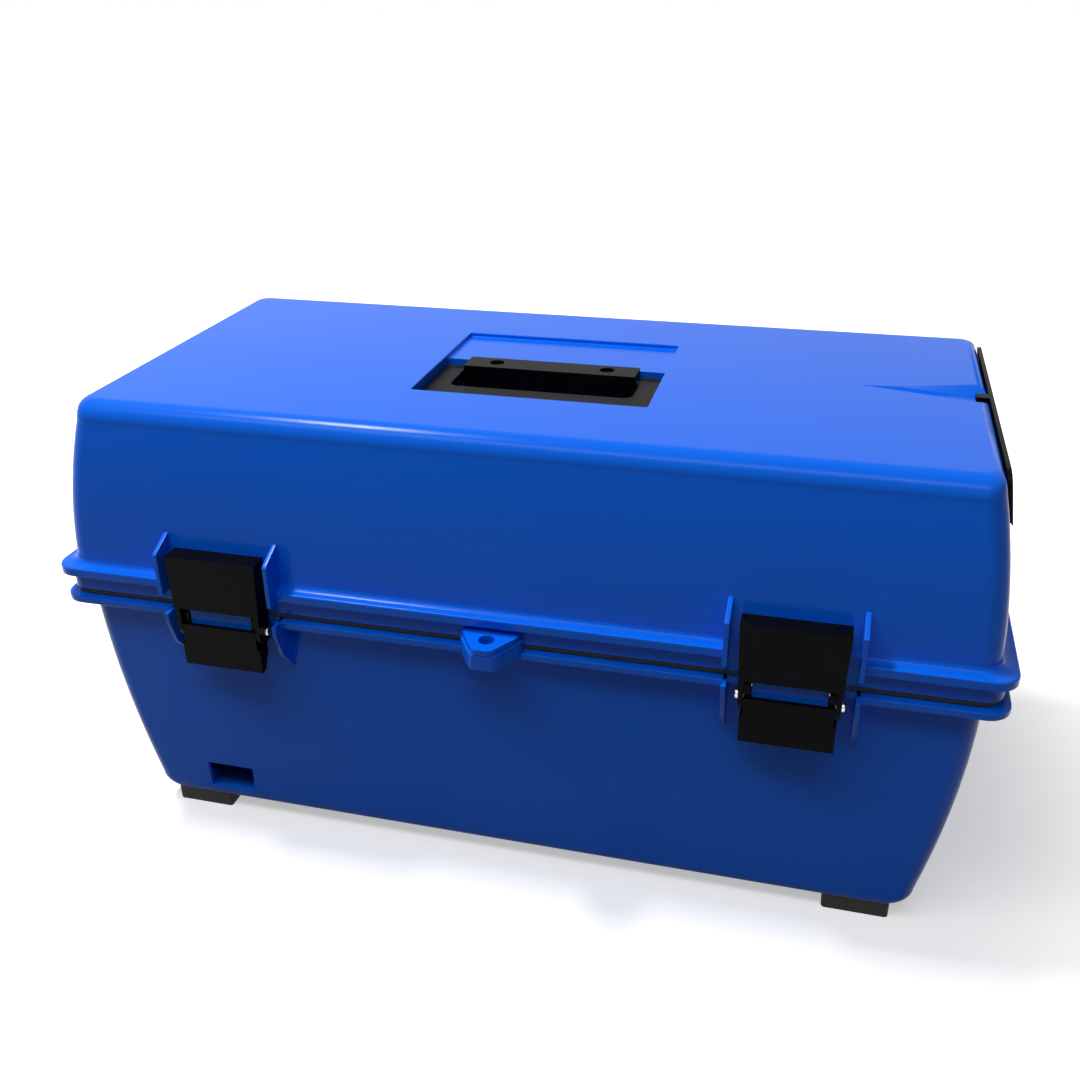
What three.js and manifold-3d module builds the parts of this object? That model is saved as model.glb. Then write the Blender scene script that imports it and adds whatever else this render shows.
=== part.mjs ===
// A moulded battery box: a deep base, a hinged lid, two hook latches with pull-out levers,
// a carry handle folded into a well in the lid, a hinged cable-port cover and four rubber feet.
// Millimetres. X runs along the box, -Y is its front, +Z is up.
// The origin is on the floor, under the middle of the box.
import * as THREE from "three";
import { mergeVertices } from "three/addons/utils/BufferGeometryUtils.js";
import Module from "manifold-3d";

const wasm = await Module();
wasm.setup();

// ---- Overall sizes
const LENGTH = 600; // over the lid's lip
const DEPTH = 308.2; // over the lid's lip
const FOOT_HEIGHT = 13;
const BASE_HEIGHT = 166.2; // underside to the top of the rim
const SEAL_GAP = 3.8; // from the rim up to the lid's skirt
const LID_HEIGHT = 126; // foot of the skirt to the flat top
const SEAT = 0.3; // gap between pieces that rest on each other
const RUN = 0.4; // gap beside pieces that turn

// ---- Base
const BASE_WALL = 3.5;
const BASE_CORNER = 12; // plan radius
const RIM_THICK = 5;
const RIM_INSET = 1.2; // behind the lid's lip
const RIM_SHELF_X = 13.4; // rim's reach over the end wall
const RIM_SHELF_Y = 10.6; // rim's reach over the front wall
const END_TUCK = 21.7; // how far each end curves in towards the floor
const END_TUCK_POWER = 1.9;
const FRONT_TUCK = 9;
const KEEL_RADIUS = 11; // lower edge of each end
const KEEL_SOFTEN = 2.5; // lower edge of the front and back
const PORT = { fromEnd: 95.5, width: 34, height: 20, sill: 7.7 }; // low in the front, at the left

// ---- Lid
const LID_WALL = 3.2;
const LID_CORNER = 12;
const LIP_THICK = 4.9;
const LIP_SHELF = 7.2; // lip's reach past the front wall
const LIP_EDGE = 1.2; // rounding of the lip
const COVE_HEIGHT = 4.6; // hollow curve between front wall and lip
const SKIRT_HEIGHT = 11.6;
const SKIRT_INSET = 5.6;
const END_DRAFT = 0.157;
const FRONT_DRAFT = 0.073;
const END_FLARE = 6.5; // extra spread of the end walls at the lip
const FLARE_HEIGHT = 44;
const FRONT_ROUND = 25; // long upper edges
const END_ROUND = 5; // short upper edges
const TOP_CORNER = 7; // plan radius of the flat top
const GROOVE = { length: 76.4, y: 6.2, half: 19.2, deep: 7.6, past: 1.7 }; // rest for a pipe, in the top

// ---- Handle well and label recess
const WELL = { half: 76.3, front: -63.4, back: 11.3, deep: 26 };
const LABEL = { back: 63.9, deep: 3 };
const CLAMP = { front: -9, back: 10.7, below: 0.4, screwIn: 20.5, screwY: 1.5 };
const HANDLE = { side: 1.5, front: 1.2, arm: 14, grip: 28.2, thick: 8, below: 6, corner: 6 };
const PIVOT_Y = 4;
const PIVOT_RADIUS = 4.8;
const HANDLE_PIN = { radius: 3, inClamp: 12, inArm: 11, sideGap: 2.3 };
const CLAMP_SCREW = { shank: 2.5, head: 4.5, headHeight: 3.5, sink: 6, bite: 8 };
const BOSS_WALL = 3.2;

// ---- Latches, measured out from the lip's front and up from the rim's top
const LATCH_FROM_END = 121.5;
const LATCH_OUT = 8.2; // outer face in front of the lip
const PLATE = 3;
const CUT_BACK = 6.3; // the lip and rim stop this far behind the lip's front
const RIB = { beside: 7.15, thick: 3, out: 8.1, baseOut: 5.9 };
const LEVER_PIVOT = { out: 0.9, up: 1.3 };
const LINK_PIVOT = { out: -0.1, up: -7.2 };
const LEVER_PIN_RADIUS = 1.8;
const LINK_PIN = { radius: 1.9, head: 2.9, headThick: 2.2 };
const HOOK_UP = 38.8; // ledge above the rim
const HOOK_THICK = 4.2;
const LEDGE = { inset: 1.9, thick: 4.5, out: 1.4 };
const BAR = { out: 3.9, up: 4.3, down: 6.2 };
const CLAW = { cheek: 2.5, flare: 2.1, cheekBack: 5.1, window: 6.8 };
const LEG_RADIUS = 8.3;
const LEVER = { half: 25.5, ear: 3.6, top: -4.7, shoulder: -17.4, foot: -34.2, widen: 1.7, flange: 3 };

// ---- Hasp, rear hinges, gasket
const HINGE = { out: 11.9, radius: 7.5, up: 1.9, lidHalf: 15, half: 30.5, pinRadius: 3 };
const HASP = { half: 17.5, tip: 5.6, thick: 3.6, drop: 3.6, hole: 5, holeOut: 7, baseDrop: 2.2 };
const GASKET = { out: 1, width: 6 };

// ---- Feet
const FOOT = { length: 42, width: 26, frontInset: 3.2, hole: 2.3, sink: 6, sinkRadius: 4.6 };
const FOOT_SCREW = { shank: 2, head: 4.2, headHeight: 2.6, bite: 4.5 }; // bite: into the base
const FOOT_BOSS = { radius: 6, height: 6.5 };

// ---- Cable-port cover on the right end
const COVER = { margin: 20.9, top: 1.5, stand: 4.4, thick: 2.6, corner: 9 };
const COVER_AXIS_DOWN = 31.2;
const COVER_BARREL = 2.15;
const COVER_PIN_RADIUS = 1;
const COVER_LUG = { inner: 52, width: 6 };
const CABLE_PORT = { margin: 28, top: 13, foot: 28 };
const SNAP = { half: 4, top: 1.5, foot: 4.4, reach: 9 };

// ---- Levels and faces that the sizes above give
const LIP_X = LENGTH / 2;
const LIP_Y = DEPTH / 2;
const UNDERSIDE = FOOT_HEIGHT;
const RIM_TOP = UNDERSIDE + BASE_HEIGHT;
const RIM_FOOT = RIM_TOP - RIM_THICK;
const SKIRT_FOOT = RIM_TOP + SEAL_GAP;
const LIP_FOOT = SKIRT_FOOT + SKIRT_HEIGHT;
const LIP_TOP = LIP_FOOT + LIP_THICK;
const TOP = SKIRT_FOOT + LID_HEIGHT;
const SKIRT_X = LIP_X - SKIRT_INSET;
const SKIRT_Y = LIP_Y - SKIRT_INSET;
const LATCH_X = LIP_X - LATCH_FROM_END;
const PORT_X = PORT.fromEnd - LIP_X;
const HINGE_Y = LIP_Y + HINGE.out;
const HINGE_Z = RIM_TOP + HINGE.up;
const HANDLE_HALF = WELL.half - HANDLE.side;
const CLAMP_HALF = HANDLE_HALF - HANDLE.arm - HANDLE_PIN.sideGap;
const PIVOT_Z = TOP - HANDLE.below - HANDLE.thick / 2;
const WELL_FLOOR = TOP - WELL.deep;
const CLAMP_SCREW_X = CLAMP_HALF - CLAMP.screwIn;
const SCREW_PILOT_FOOT = WELL_FLOOR - CLAMP_SCREW.bite - SEAT;
const LEVER_WIDE = LEVER.half + LEVER.widen;
const BAR_HALF = LEVER.half - LEVER.ear - RUN;
const CLAW_FOOT = LEVER.half + RUN + CLAW.cheek;
const CLAW_TOP = CLAW_FOOT + CLAW.flare;
const LEDGE_HALF = CLAW_FOOT - LEDGE.inset;
const RIB_X = CLAW_TOP + RIB.beside;
const FRONT = -LIP_Y; // latch parts are placed from here
const FACE = FRONT - LATCH_OUT;

const CORNER_STEPS = 5;
const ARC_STEPS = 7;
const ROUND_SIDES = 20;

// ---- Materials
const plastic = (color, roughness) => new THREE.MeshStandardMaterial({ color, roughness });
const BLUE = plastic(0x0a55c8, 0.35);
const BLACK = plastic(0x131315, 0.5);
const RUBBER = plastic(0x0b0b0c, 0.9);
const STEEL = new THREE.MeshStandardMaterial({ color: 0xb4b6b8, roughness: 0.35, metalness: 1 });

// ---- Solids
function solid(geometry) {
  geometry.deleteAttribute("normal");
  geometry.deleteAttribute("uv");
  const merged = mergeVertices(geometry, 1e-4);
  const vertProperties = new Float32Array(merged.attributes.position.array);
  const triVerts = new Uint32Array(merged.index.array);
  return new wasm.Manifold(new wasm.Mesh({ numProp: 3, vertProperties, triVerts }));
}

function mesh(name, body, material) {
  const { vertProperties, triVerts } = body.getMesh();
  const geometry = new THREE.BufferGeometry();
  geometry.setAttribute("position", new THREE.BufferAttribute(vertProperties, 3));
  geometry.setIndex(new THREE.BufferAttribute(triVerts, 1));
  geometry.computeVertexNormals();
  const made = new THREE.Mesh(geometry, material);
  made.name = name;
  return made;
}

function box([x0, x1], [y0, y1], [z0, z1]) {
  const geometry = new THREE.BoxGeometry(x1 - x0, y1 - y0, z1 - z0);
  geometry.translate((x0 + x1) / 2, (y0 + y1) / 2, (z0 + z1) / 2);
  return solid(geometry);
}

// A round bar along "x", "y" or "z"; centre holds its two other coordinates, in X, Y, Z order.
function rod(axis, [from, to], centre, radius, sides = ROUND_SIDES) {
  const geometry = new THREE.CylinderGeometry(radius, radius, to - from, sides);
  const middle = (from + to) / 2;
  if (axis === "x") geometry.rotateZ(-Math.PI / 2).translate(middle, ...centre);
  if (axis === "y") geometry.translate(centre[0], middle, centre[1]);
  if (axis === "z") geometry.rotateX(Math.PI / 2).translate(...centre, middle);
  return solid(geometry);
}

// A flat outline pushed along an axis. Outlines are in (y, z) for "x", (x, z) for "y", (x, y) for "z".
function slab(axis, [from, to], outline) {
  const shape = new THREE.Shape(outline.map(([u, v]) => new THREE.Vector2(u, v)));
  const geometry = new THREE.ExtrudeGeometry(shape, { depth: to - from, bevelEnabled: false });
  const [x, y, z] = [[1, 0, 0], [0, 1, 0], [0, 0, 1]].map((v) => new THREE.Vector3(...v));
  const frames = { x: [y, z, x], y: [x, z, y.clone().negate()], z: [x, y, z] };
  geometry.applyMatrix4(new THREE.Matrix4().makeBasis(...frames[axis]));
  const offset = { x: [from, 0, 0], y: [0, to, 0], z: [0, 0, from] };
  geometry.translate(...offset[axis]);
  return solid(geometry);
}

function arc([u, v], radius, startDegrees, endDegrees, steps = ARC_STEPS) {
  return Array.from({ length: steps + 1 }, (_, i) => {
    const angle = THREE.MathUtils.degToRad(startDegrees + ((endDegrees - startDegrees) * i) / steps);
    return [u + radius * Math.cos(angle), v + radius * Math.sin(angle)];
  });
}

// A rectangle with round corners, from low to high in its two directions.
function roundedOutline([u0, u1], [v0, v1], radius, steps = CORNER_STEPS) {
  return [
    ...arc([u1 - radius, v1 - radius], radius, 0, 90, steps),
    ...arc([u0 + radius, v1 - radius], radius, 90, 180, steps),
    ...arc([u0 + radius, v0 + radius], radius, 180, 270, steps),
    ...arc([u1 - radius, v0 + radius], radius, 270, 360, steps),
  ];
}

// One level of a hollow or casing: a round-cornered rectangle about the middle of the box.
function level({ x, y, corner, z }) {
  return roundedOutline([-x, x], [-y, y], corner).map(([u, v]) => [u, v, z]);
}

// A closed body through outlines with equally many points, listed from the lowest up.
function loft(rings) {
  const count = rings[0].length;
  const index = [];
  for (let k = 0; k < rings.length - 1; k++) {
    for (let i = 0; i < count; i++) {
      const a = k * count + i;
      const b = k * count + ((i + 1) % count);
      index.push(a, b, b + count, a, b + count, a + count);
    }
  }
  const last = (rings.length - 1) * count;
  for (let i = 1; i < count - 1; i++) {
    index.push(0, i + 1, i, last, last + i, last + i + 1);
  }
  const geometry = new THREE.BufferGeometry();
  geometry.setAttribute("position", new THREE.Float32BufferAttribute(rings.flat(2), 3));
  geometry.setIndex(index);
  return solid(geometry);
}

const steps = (count) => Array.from({ length: count + 1 }, (_, i) => i / count);
const joined = (first, ...rest) => rest.reduce((body, piece) => body.add(piece), first);
const cut = (first, ...rest) => rest.reduce((body, piece) => body.subtract(piece), first);
const SIDES = [["left", -1], ["right", 1]];
const onSide = (side, span) => span.map((v) => side * v).sort((a, b) => a - b);
const latchCentres = SIDES.map(([, side]) => side * LATCH_X);

// ---- Base shell
function baseSection(z) {
  const share = (RIM_FOOT - z) / (RIM_FOOT - UNDERSIDE);
  return {
    x: LIP_X - RIM_INSET - RIM_SHELF_X - END_TUCK * share ** END_TUCK_POWER,
    y: LIP_Y - RIM_INSET - RIM_SHELF_Y - FRONT_TUCK * share,
  };
}

// The bowl of the base, drawn in by inset all round and ending at top.
function bowl(inset, top) {
  const keelTop = UNDERSIDE + KEEL_RADIUS;
  const radius = KEEL_RADIUS - inset;
  const keel = steps(4).map((t) => {
    const angle = (t * Math.PI) / 2;
    const z = keelTop - radius * Math.cos(angle);
    const wall = baseSection(keelTop);
    const x = wall.x - inset - radius * (1 - Math.sin(angle));
    const y = wall.y - inset - KEEL_SOFTEN * (1 - Math.sin(angle));
    return { x, y, corner: BASE_CORNER - inset, z };
  });
  const sides = steps(7).slice(1).map((t) => {
    const z = keelTop + (RIM_FOOT - keelTop) * t;
    const wall = baseSection(z);
    return { x: wall.x - inset, y: wall.y - inset, corner: BASE_CORNER - inset, z };
  });
  const mouth = { ...sides.at(-1), z: top };
  return loft([...keel, ...sides, mouth].map(level));
}

function baseRim() {
  const x = LIP_X - RIM_INSET;
  const y = LIP_Y - RIM_INSET;
  const corner = BASE_CORNER + 2;
  const soften = 1;
  const lower = { x: x - soften, y: y - soften, corner, z: RIM_FOOT };
  return loft([
    lower,
    { ...lower, x, y, z: RIM_FOOT + soften },
    { x, y, corner, z: RIM_TOP - soften },
    { ...lower, z: RIM_TOP },
  ].map(level));
}

function baseRib(x) {
  const wall = -baseSection(RIM_FOOT).y + BASE_WALL / 2;
  const front = FRONT - RIB.baseOut;
  return slab("x", [x - RIB.thick / 2, x + RIB.thick / 2], [
    [wall, RIM_TOP],
    [wall, RIM_TOP - 41],
    [wall - 6, RIM_TOP - 33],
    [FRONT, RIM_TOP - 24],
    [front, RIM_TOP - 6],
    [front, RIM_TOP],
  ]);
}

// The bar between a lever's ears, which holds its pin.
function latchBar(x) {
  const back = FRONT + CUT_BACK + 2;
  const skirtFace = FRONT + SKIRT_INSET - 1.5;
  const front = FRONT - BAR.out;
  return slab("x", [x - BAR_HALF, x + BAR_HALF], [
    [front, RIM_TOP - BAR.down],
    [back, RIM_TOP - BAR.down],
    [back, RIM_TOP],
    [skirtFace, RIM_TOP],
    [skirtFace, RIM_TOP + BAR.up],
    [front, RIM_TOP + BAR.up],
  ]);
}

function haspPlate(extra, root, [from, to]) {
  const tip = FRONT - HINGE.out - HINGE.radius;
  const half = HASP.half + extra;
  const tipHalf = HASP.tip + extra;
  const right = [[tipHalf, tip], [half, FRONT], [half, root]];
  const left = right.map(([x, y]) => [-x, y]).reverse();
  return slab("z", [from, to], [...left, ...right]);
}

function haspHole() {
  return rod("z", [RIM_FOOT - 10, LIP_TOP], [0, FRONT - HASP.holeOut], HASP.hole, 24);
}

function baseKnuckle(x, side) {
  const span = onSide(side, [HINGE.lidHalf + RUN, HINGE.half]).map((d) => x + d);
  const wall = baseSection(RIM_FOOT).y - BASE_WALL / 2;
  const round = rod("x", span, [HINGE_Y, HINGE_Z], HINGE.radius);
  const web = slab("x", span, [
    [wall, RIM_TOP - 1],
    [wall, RIM_TOP - 22],
    [HINGE_Y, HINGE_Z - HINGE.radius],
    [HINGE_Y + 3, HINGE_Z],
    [HINGE_Y - 3, RIM_TOP - 1],
  ]);
  return round.add(web);
}

const footCentres = SIDES.flatMap(([side, sx]) =>
  [["front", -1], ["rear", 1]].map(([end, sy]) => ({
    name: `${end}_${side}`,
    x: sx * (baseSection(UNDERSIDE).x - KEEL_RADIUS - FOOT.length / 2),
    y: sy * (baseSection(UNDERSIDE).y - FOOT.frontInset - FOOT.width / 2),
  })),
);

function baseShell() {
  let body = joined(bowl(0, RIM_TOP - 1), baseRim());
  for (const x of latchCentres) {
    const reach = RIB_X - RIB.thick / 2 + SEAT;
    const gap = box([x - reach, x + reach], [FACE, FRONT + CUT_BACK], [RIM_FOOT - 1, RIM_TOP + 1]);
    const ribs = [-1, 1].map((side) => baseRib(x + side * RIB_X));
    const knuckles = [-1, 1].map((side) => baseKnuckle(x, side));
    body = joined(body.subtract(gap), ...ribs, latchBar(x), ...knuckles);
  }
  const tabTop = LIP_FOOT - HASP.drop - HASP.thick - RUN;
  const tabRoot = FRONT + SKIRT_INSET - 1.1;
  body = body.add(haspPlate(1.6, tabRoot, [RIM_TOP - HASP.baseDrop, tabTop]));

  const floor = UNDERSIDE + BASE_WALL;
  const bosses = footCentres.map(({ x, y }) =>
    rod("z", [UNDERSIDE, floor + FOOT_BOSS.height], [x, y], FOOT_BOSS.radius),
  );
  body = body.subtract(cut(bowl(BASE_WALL, RIM_TOP + 20), ...bosses));
  for (const { x, y } of footCentres) {
    const pilot = [UNDERSIDE - 1, UNDERSIDE + FOOT_SCREW.bite + SEAT];
    body = body.subtract(rod("z", pilot, [x, y], FOOT_SCREW.shank + SEAT, 12));
  }
  for (const x of latchCentres) {
    const span = [x - HINGE.half - 1, x + HINGE.half + 1];
    body = body.subtract(rod("x", span, [HINGE_Y, HINGE_Z], HINGE.pinRadius + SEAT));
    const pinHole = [x - BAR_HALF - 1, x + BAR_HALF + 1];
    const pivot = [FRONT - LEVER_PIVOT.out, RIM_TOP + LEVER_PIVOT.up];
    body = body.subtract(rod("x", pinHole, pivot, LEVER_PIN_RADIUS + SEAT, 16));
  }
  const sill = UNDERSIDE + PORT.sill;
  const portX = [PORT_X - PORT.width / 2, PORT_X + PORT.width / 2];
  const port = box(portX, [FRONT, FRONT + 40], [sill, sill + PORT.height]);
  return cut(body, port, haspHole());
}

// ---- Lid shell
function endWall(z) {
  const above = z - LIP_TOP;
  const spread = Math.max(0, 1 - above / FLARE_HEIGHT);
  return LIP_X - END_FLARE - END_DRAFT * above + END_FLARE * spread ** 1.4;
}

function frontWall(z) {
  return LIP_Y - LIP_SHELF - FRONT_DRAFT * (z - LIP_TOP);
}

// The dome of the lid above the lip, drawn in by inset; widest caps its half sizes.
function domeLevels(inset, foot, widest) {
  const roundFoot = TOP - FRONT_ROUND;
  const sides = steps(6).map((t) => {
    const z = foot + (roundFoot - foot) * t;
    return { x: endWall(z) - inset, y: frontWall(z) - inset, corner: LID_CORNER - inset, z };
  });
  const shoulder = steps(6).slice(1).map((t) => {
    const angle = (t * Math.PI) / 2;
    const radius = FRONT_ROUND - inset;
    const z = roundFoot + radius * Math.sin(angle);
    const below = Math.max(0, z - (TOP - END_ROUND)) / (END_ROUND - inset);
    const ease = (END_ROUND - inset) * (1 - Math.sqrt(Math.max(0, 1 - Math.min(1, below) ** 2)));
    const corner = THREE.MathUtils.lerp(LID_CORNER, TOP_CORNER, t) - inset;
    const y = frontWall(roundFoot) - FRONT_ROUND + radius * Math.cos(angle);
    return { x: endWall(z) - inset - ease, y, corner, z };
  });
  return [...sides, ...shoulder].map((l) => ({
    ...l,
    x: Math.min(l.x, widest.x),
    y: Math.min(l.y, widest.y),
  }));
}

function lidOuter() {
  const coveFoot = LIP_TOP + LIP_EDGE;
  const coveTop = coveFoot + COVE_HEIGHT;
  const corner = LID_CORNER + 2;
  const lip = { x: LIP_X, y: LIP_Y, corner };
  const skirt = { x: SKIRT_X, y: SKIRT_Y, corner: LID_CORNER };
  const cove = steps(4).map((t) => {
    const angle = (t * Math.PI) / 2;
    const spread = 1 - Math.sin(angle);
    const wall = { x: endWall(coveTop), y: frontWall(coveTop) };
    return {
      x: wall.x + (LIP_X - LIP_EDGE - wall.x) * spread,
      y: wall.y + (LIP_Y - LIP_EDGE - wall.y) * spread,
      corner,
      z: coveFoot + COVE_HEIGHT * (1 - Math.cos(angle)),
    };
  });
  return loft([
    { ...skirt, z: SKIRT_FOOT },
    { ...skirt, z: LIP_FOOT },
    { x: LIP_X - LIP_EDGE / 2, y: LIP_Y - LIP_EDGE / 2, corner, z: LIP_FOOT },
    { ...lip, z: LIP_FOOT + LIP_EDGE / 2 },
    { ...lip, z: LIP_TOP },
    ...cove,
    ...domeLevels(0, coveTop, { x: LIP_X, y: LIP_Y }).slice(1),
  ].map(level));
}

function lidInner() {
  const widest = { x: SKIRT_X - LID_WALL, y: SKIRT_Y - LID_WALL };
  const mouth = { ...widest, corner: LID_CORNER - LID_WALL };
  const dome = domeLevels(LID_WALL, LIP_TOP + 8, widest);
  return loft([{ ...mouth, z: SKIRT_FOOT - 5 }, { ...mouth, z: LIP_FOOT - 3 }, ...dome].map(level));
}

function lidRib(x) {
  const wall = -frontWall(LIP_TOP) + LID_WALL / 2;
  const out = FRONT - RIB.out;
  const top = RIM_TOP + HOOK_UP + 5.7;
  return slab("x", [x - RIB.thick / 2, x + RIB.thick / 2], [
    [wall, LIP_FOOT - 0.6],
    [out, LIP_FOOT - 0.6],
    [out, top - 1.5],
    [out + 1.6, top],
    [wall, top + 7.2],
  ]);
}

function lidKnuckle(x) {
  const span = [x - HINGE.lidHalf, x + HINGE.lidHalf];
  const wall = SKIRT_Y - LID_WALL / 2;
  const round = rod("x", span, [HINGE_Y, HINGE_Z], HINGE.radius);
  const web = slab("x", span, [
    [wall, SKIRT_FOOT + 1.5],
    [HINGE_Y - HINGE.radius + 1, SKIRT_FOOT + 1.5],
    [HINGE_Y, HINGE_Z],
    [HINGE_Y + 5, HINGE_Z + 5.5],
    [LIP_Y, LIP_TOP],
    [wall, LIP_TOP],
  ]);
  return round.add(web);
}

// The groove in the top: a three-sided wedge that deepens from its tip to the end of the lid.
function grooveWedge(grow) {
  const end = endWall(TOP) + GROOVE.past;
  const start = end - GROOVE.length;
  const far = end + 12;
  const scale = (far - start) / GROOVE.length;
  const half = GROOVE.half * scale + grow;
  const deep = GROOVE.deep * scale + grow;
  const tip = start - grow * 3;
  const lift = 2;
  const side = (x, w, d) => [
    [x, GROOVE.y - w * (1 + lift / d), TOP + lift],
    [x, GROOVE.y, TOP - d],
    [x, GROOVE.y + w * (1 + lift / d), TOP + lift],
  ];
  const small = 0.02;
  return loft([side(tip, half * small, deep * small), side(far, half, deep)]);
}

function coverLug(side) {
  const inner = COVER_LUG.inner;
  const span = onSide(side, [inner, inner + COVER_LUG.width]);
  const { x, z } = coverAxis();
  const wall = endWall(z) - LID_WALL / 2;
  const round = rod("y", span, [x, z], COVER_BARREL);
  return round.add(box([wall, x], span, [z - COVER_BARREL, z + COVER_BARREL]));
}

const coverHalf = () => frontWall(TOP) - COVER.margin;

function coverAxis() {
  const z = TOP - COVER_AXIS_DOWN;
  return { x: endWall(z) + COVER.stand - COVER_BARREL, z };
}

// The space inside the lid: its walls, less what hangs from the top to carry the well and recesses.
function lidCavity() {
  const padX = [-WELL.half - LID_WALL, WELL.half + LID_WALL];
  const tubY = [WELL.front - LID_WALL, WELL.back + LID_WALL];
  const tub = box(padX, tubY, [WELL_FLOOR - LID_WALL, TOP]);
  const pad = box(padX, [WELL.back, LABEL.back + LID_WALL], [TOP - LABEL.deep - LID_WALL, TOP]);
  const bosses = [-1, 1].map((side) => {
    const span = [SCREW_PILOT_FOOT - BOSS_WALL / 2, WELL_FLOOR];
    return rod("z", span, [side * CLAMP_SCREW_X, CLAMP.screwY], CLAMP_SCREW.shank + BOSS_WALL);
  });
  return cut(lidInner(), tub, pad, ...bosses, grooveWedge(LID_WALL));
}

function lidShell() {
  let body = lidOuter();
  for (const x of latchCentres) {
    const reach = RIB_X - RIB.thick / 2 + SEAT;
    const gap = box([x - reach, x + reach], [FACE, FRONT + CUT_BACK], [SKIRT_FOOT - 1, LIP_TOP + 12]);
    const ledgeTop = RIM_TOP + HOOK_UP;
    const ledgeBack = -frontWall(ledgeTop) + LID_WALL / 2;
    const ledgeX = [x - LEDGE_HALF, x + LEDGE_HALF];
    const ledge = box(ledgeX, [FRONT - LEDGE.out, ledgeBack], [ledgeTop - LEDGE.thick, ledgeTop]);
    const ribs = [-1, 1].map((side) => lidRib(x + side * RIB_X));
    body = joined(body.subtract(gap), ledge, ...ribs, lidKnuckle(x));
  }
  const tabTop = LIP_FOOT - HASP.drop;
  const tabRoot = FRONT + SKIRT_INSET + LID_WALL / 2;
  body = body.add(haspPlate(0, tabRoot, [tabTop - HASP.thick, tabTop]));
  body = body.subtract(lidCavity()).add(coverLug(-1)).add(coverLug(1));

  for (const side of [-1, 1]) {
    const centre = [side * CLAMP_SCREW_X, CLAMP.screwY];
    const pilot = [SCREW_PILOT_FOOT, WELL_FLOOR + 1];
    body = body.subtract(rod("z", pilot, centre, CLAMP_SCREW.shank + SEAT, 16));
  }
  const wellX = [-WELL.half, WELL.half];
  const well = box(wellX, [WELL.front, WELL.back], [WELL_FLOOR, TOP + 5]);
  const label = box(wellX, [WELL.back - 1, LABEL.back], [TOP - LABEL.deep, TOP + 5]);
  const portX = [endWall(TOP) - 12, LIP_X];
  const portZ = [TOP - CABLE_PORT.foot, TOP - CABLE_PORT.top];
  const portHalf = coverHalf() - CABLE_PORT.margin;
  const port = box(portX, [-portHalf, portHalf], portZ);
  body = cut(body, well, label, grooveWedge(0), port, haspHole());
  for (const x of latchCentres) {
    const span = [x - HINGE.lidHalf - 1, x + HINGE.lidHalf + 1];
    body = body.subtract(rod("x", span, [HINGE_Y, HINGE_Z], HINGE.pinRadius + SEAT));
  }
  const axis = coverAxis();
  const pinSpan = [-1, 1].map((side) => side * (COVER_LUG.inner + COVER_LUG.width + 1));
  return body.subtract(rod("y", pinSpan, [axis.x, axis.z], COVER_PIN_RADIUS + SEAT, 12));
}

// ---- Seal and hinge pins
function rimGasket() {
  const span = [RIM_TOP + SEAT, SKIRT_FOOT - SEAT];
  const outer = { x: SKIRT_X - GASKET.out, y: SKIRT_Y - GASKET.out, corner: LID_CORNER };
  const inner = { x: outer.x - GASKET.width, y: outer.y - GASKET.width, corner: LID_CORNER - GASKET.width };
  const outside = loft(span.map((z) => level({ ...outer, z })));
  const inside = loft([span[0] - 1, span[1] + 1].map((z) => level({ ...inner, z })));
  return outside.subtract(inside);
}

function hingePin() {
  return rod("x", [-HINGE.half, HINGE.half], [0, 0], HINGE.pinRadius);
}

// ---- Carry handle and its clamp
function carryHandle() {
  const half = HANDLE_HALF;
  const front = WELL.front + HANDLE.front;
  const inner = half - HANDLE.arm;
  const gripBack = front + HANDLE.grip;
  const { corner } = HANDLE;
  const outline = [
    ...arc([-half + corner, front + corner], corner, 180, 270, CORNER_STEPS),
    ...arc([half - corner, front + corner], corner, 270, 360, CORNER_STEPS),
    [half, PIVOT_Y],
    [inner, PIVOT_Y],
    ...arc([inner - corner, gripBack + corner], corner, 0, -90, CORNER_STEPS),
    ...arc([-inner + corner, gripBack + corner], corner, 270, 180, CORNER_STEPS),
    [-inner, PIVOT_Y],
    [-half, PIVOT_Y],
  ];
  const foot = PIVOT_Z - HANDLE.thick / 2;
  let body = slab("z", [foot, foot + HANDLE.thick], outline);
  for (const side of [-1, 1]) {
    const span = onSide(side, [inner, half]);
    const bore = onSide(side, [inner - 1, CLAMP_HALF + HANDLE_PIN.sideGap + HANDLE_PIN.inArm + 2 * SEAT]);
    body = body.add(rod("x", span, [PIVOT_Y, PIVOT_Z], PIVOT_RADIUS));
    body = body.subtract(rod("x", bore, [PIVOT_Y, PIVOT_Z], HANDLE_PIN.radius + SEAT));
  }
  return body;
}

function handleClamp() {
  const top = TOP - CLAMP.below;
  let body = box([-CLAMP_HALF, CLAMP_HALF], [CLAMP.front, CLAMP.back], [WELL_FLOOR + SEAT, top]);
  for (const side of [-1, 1]) {
    const bore = onSide(side, [CLAMP_HALF - HANDLE_PIN.inClamp - SEAT, CLAMP_HALF + 1]);
    const centre = [side * CLAMP_SCREW_X, CLAMP.screwY];
    body = cut(
      body,
      rod("x", bore, [PIVOT_Y, PIVOT_Z], HANDLE_PIN.radius + SEAT),
      rod("z", [top - CLAMP_SCREW.sink, top + 1], centre, CLAMP_SCREW.head + 0.5),
      rod("z", [WELL_FLOOR - 1, top], centre, CLAMP_SCREW.shank + SEAT, 16),
    );
  }
  return body;
}

function handlePin(side) {
  const span = [CLAMP_HALF - HANDLE_PIN.inClamp, CLAMP_HALF + HANDLE_PIN.sideGap + HANDLE_PIN.inArm];
  return rod("x", onSide(side, span), [0, 0], HANDLE_PIN.radius);
}

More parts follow.
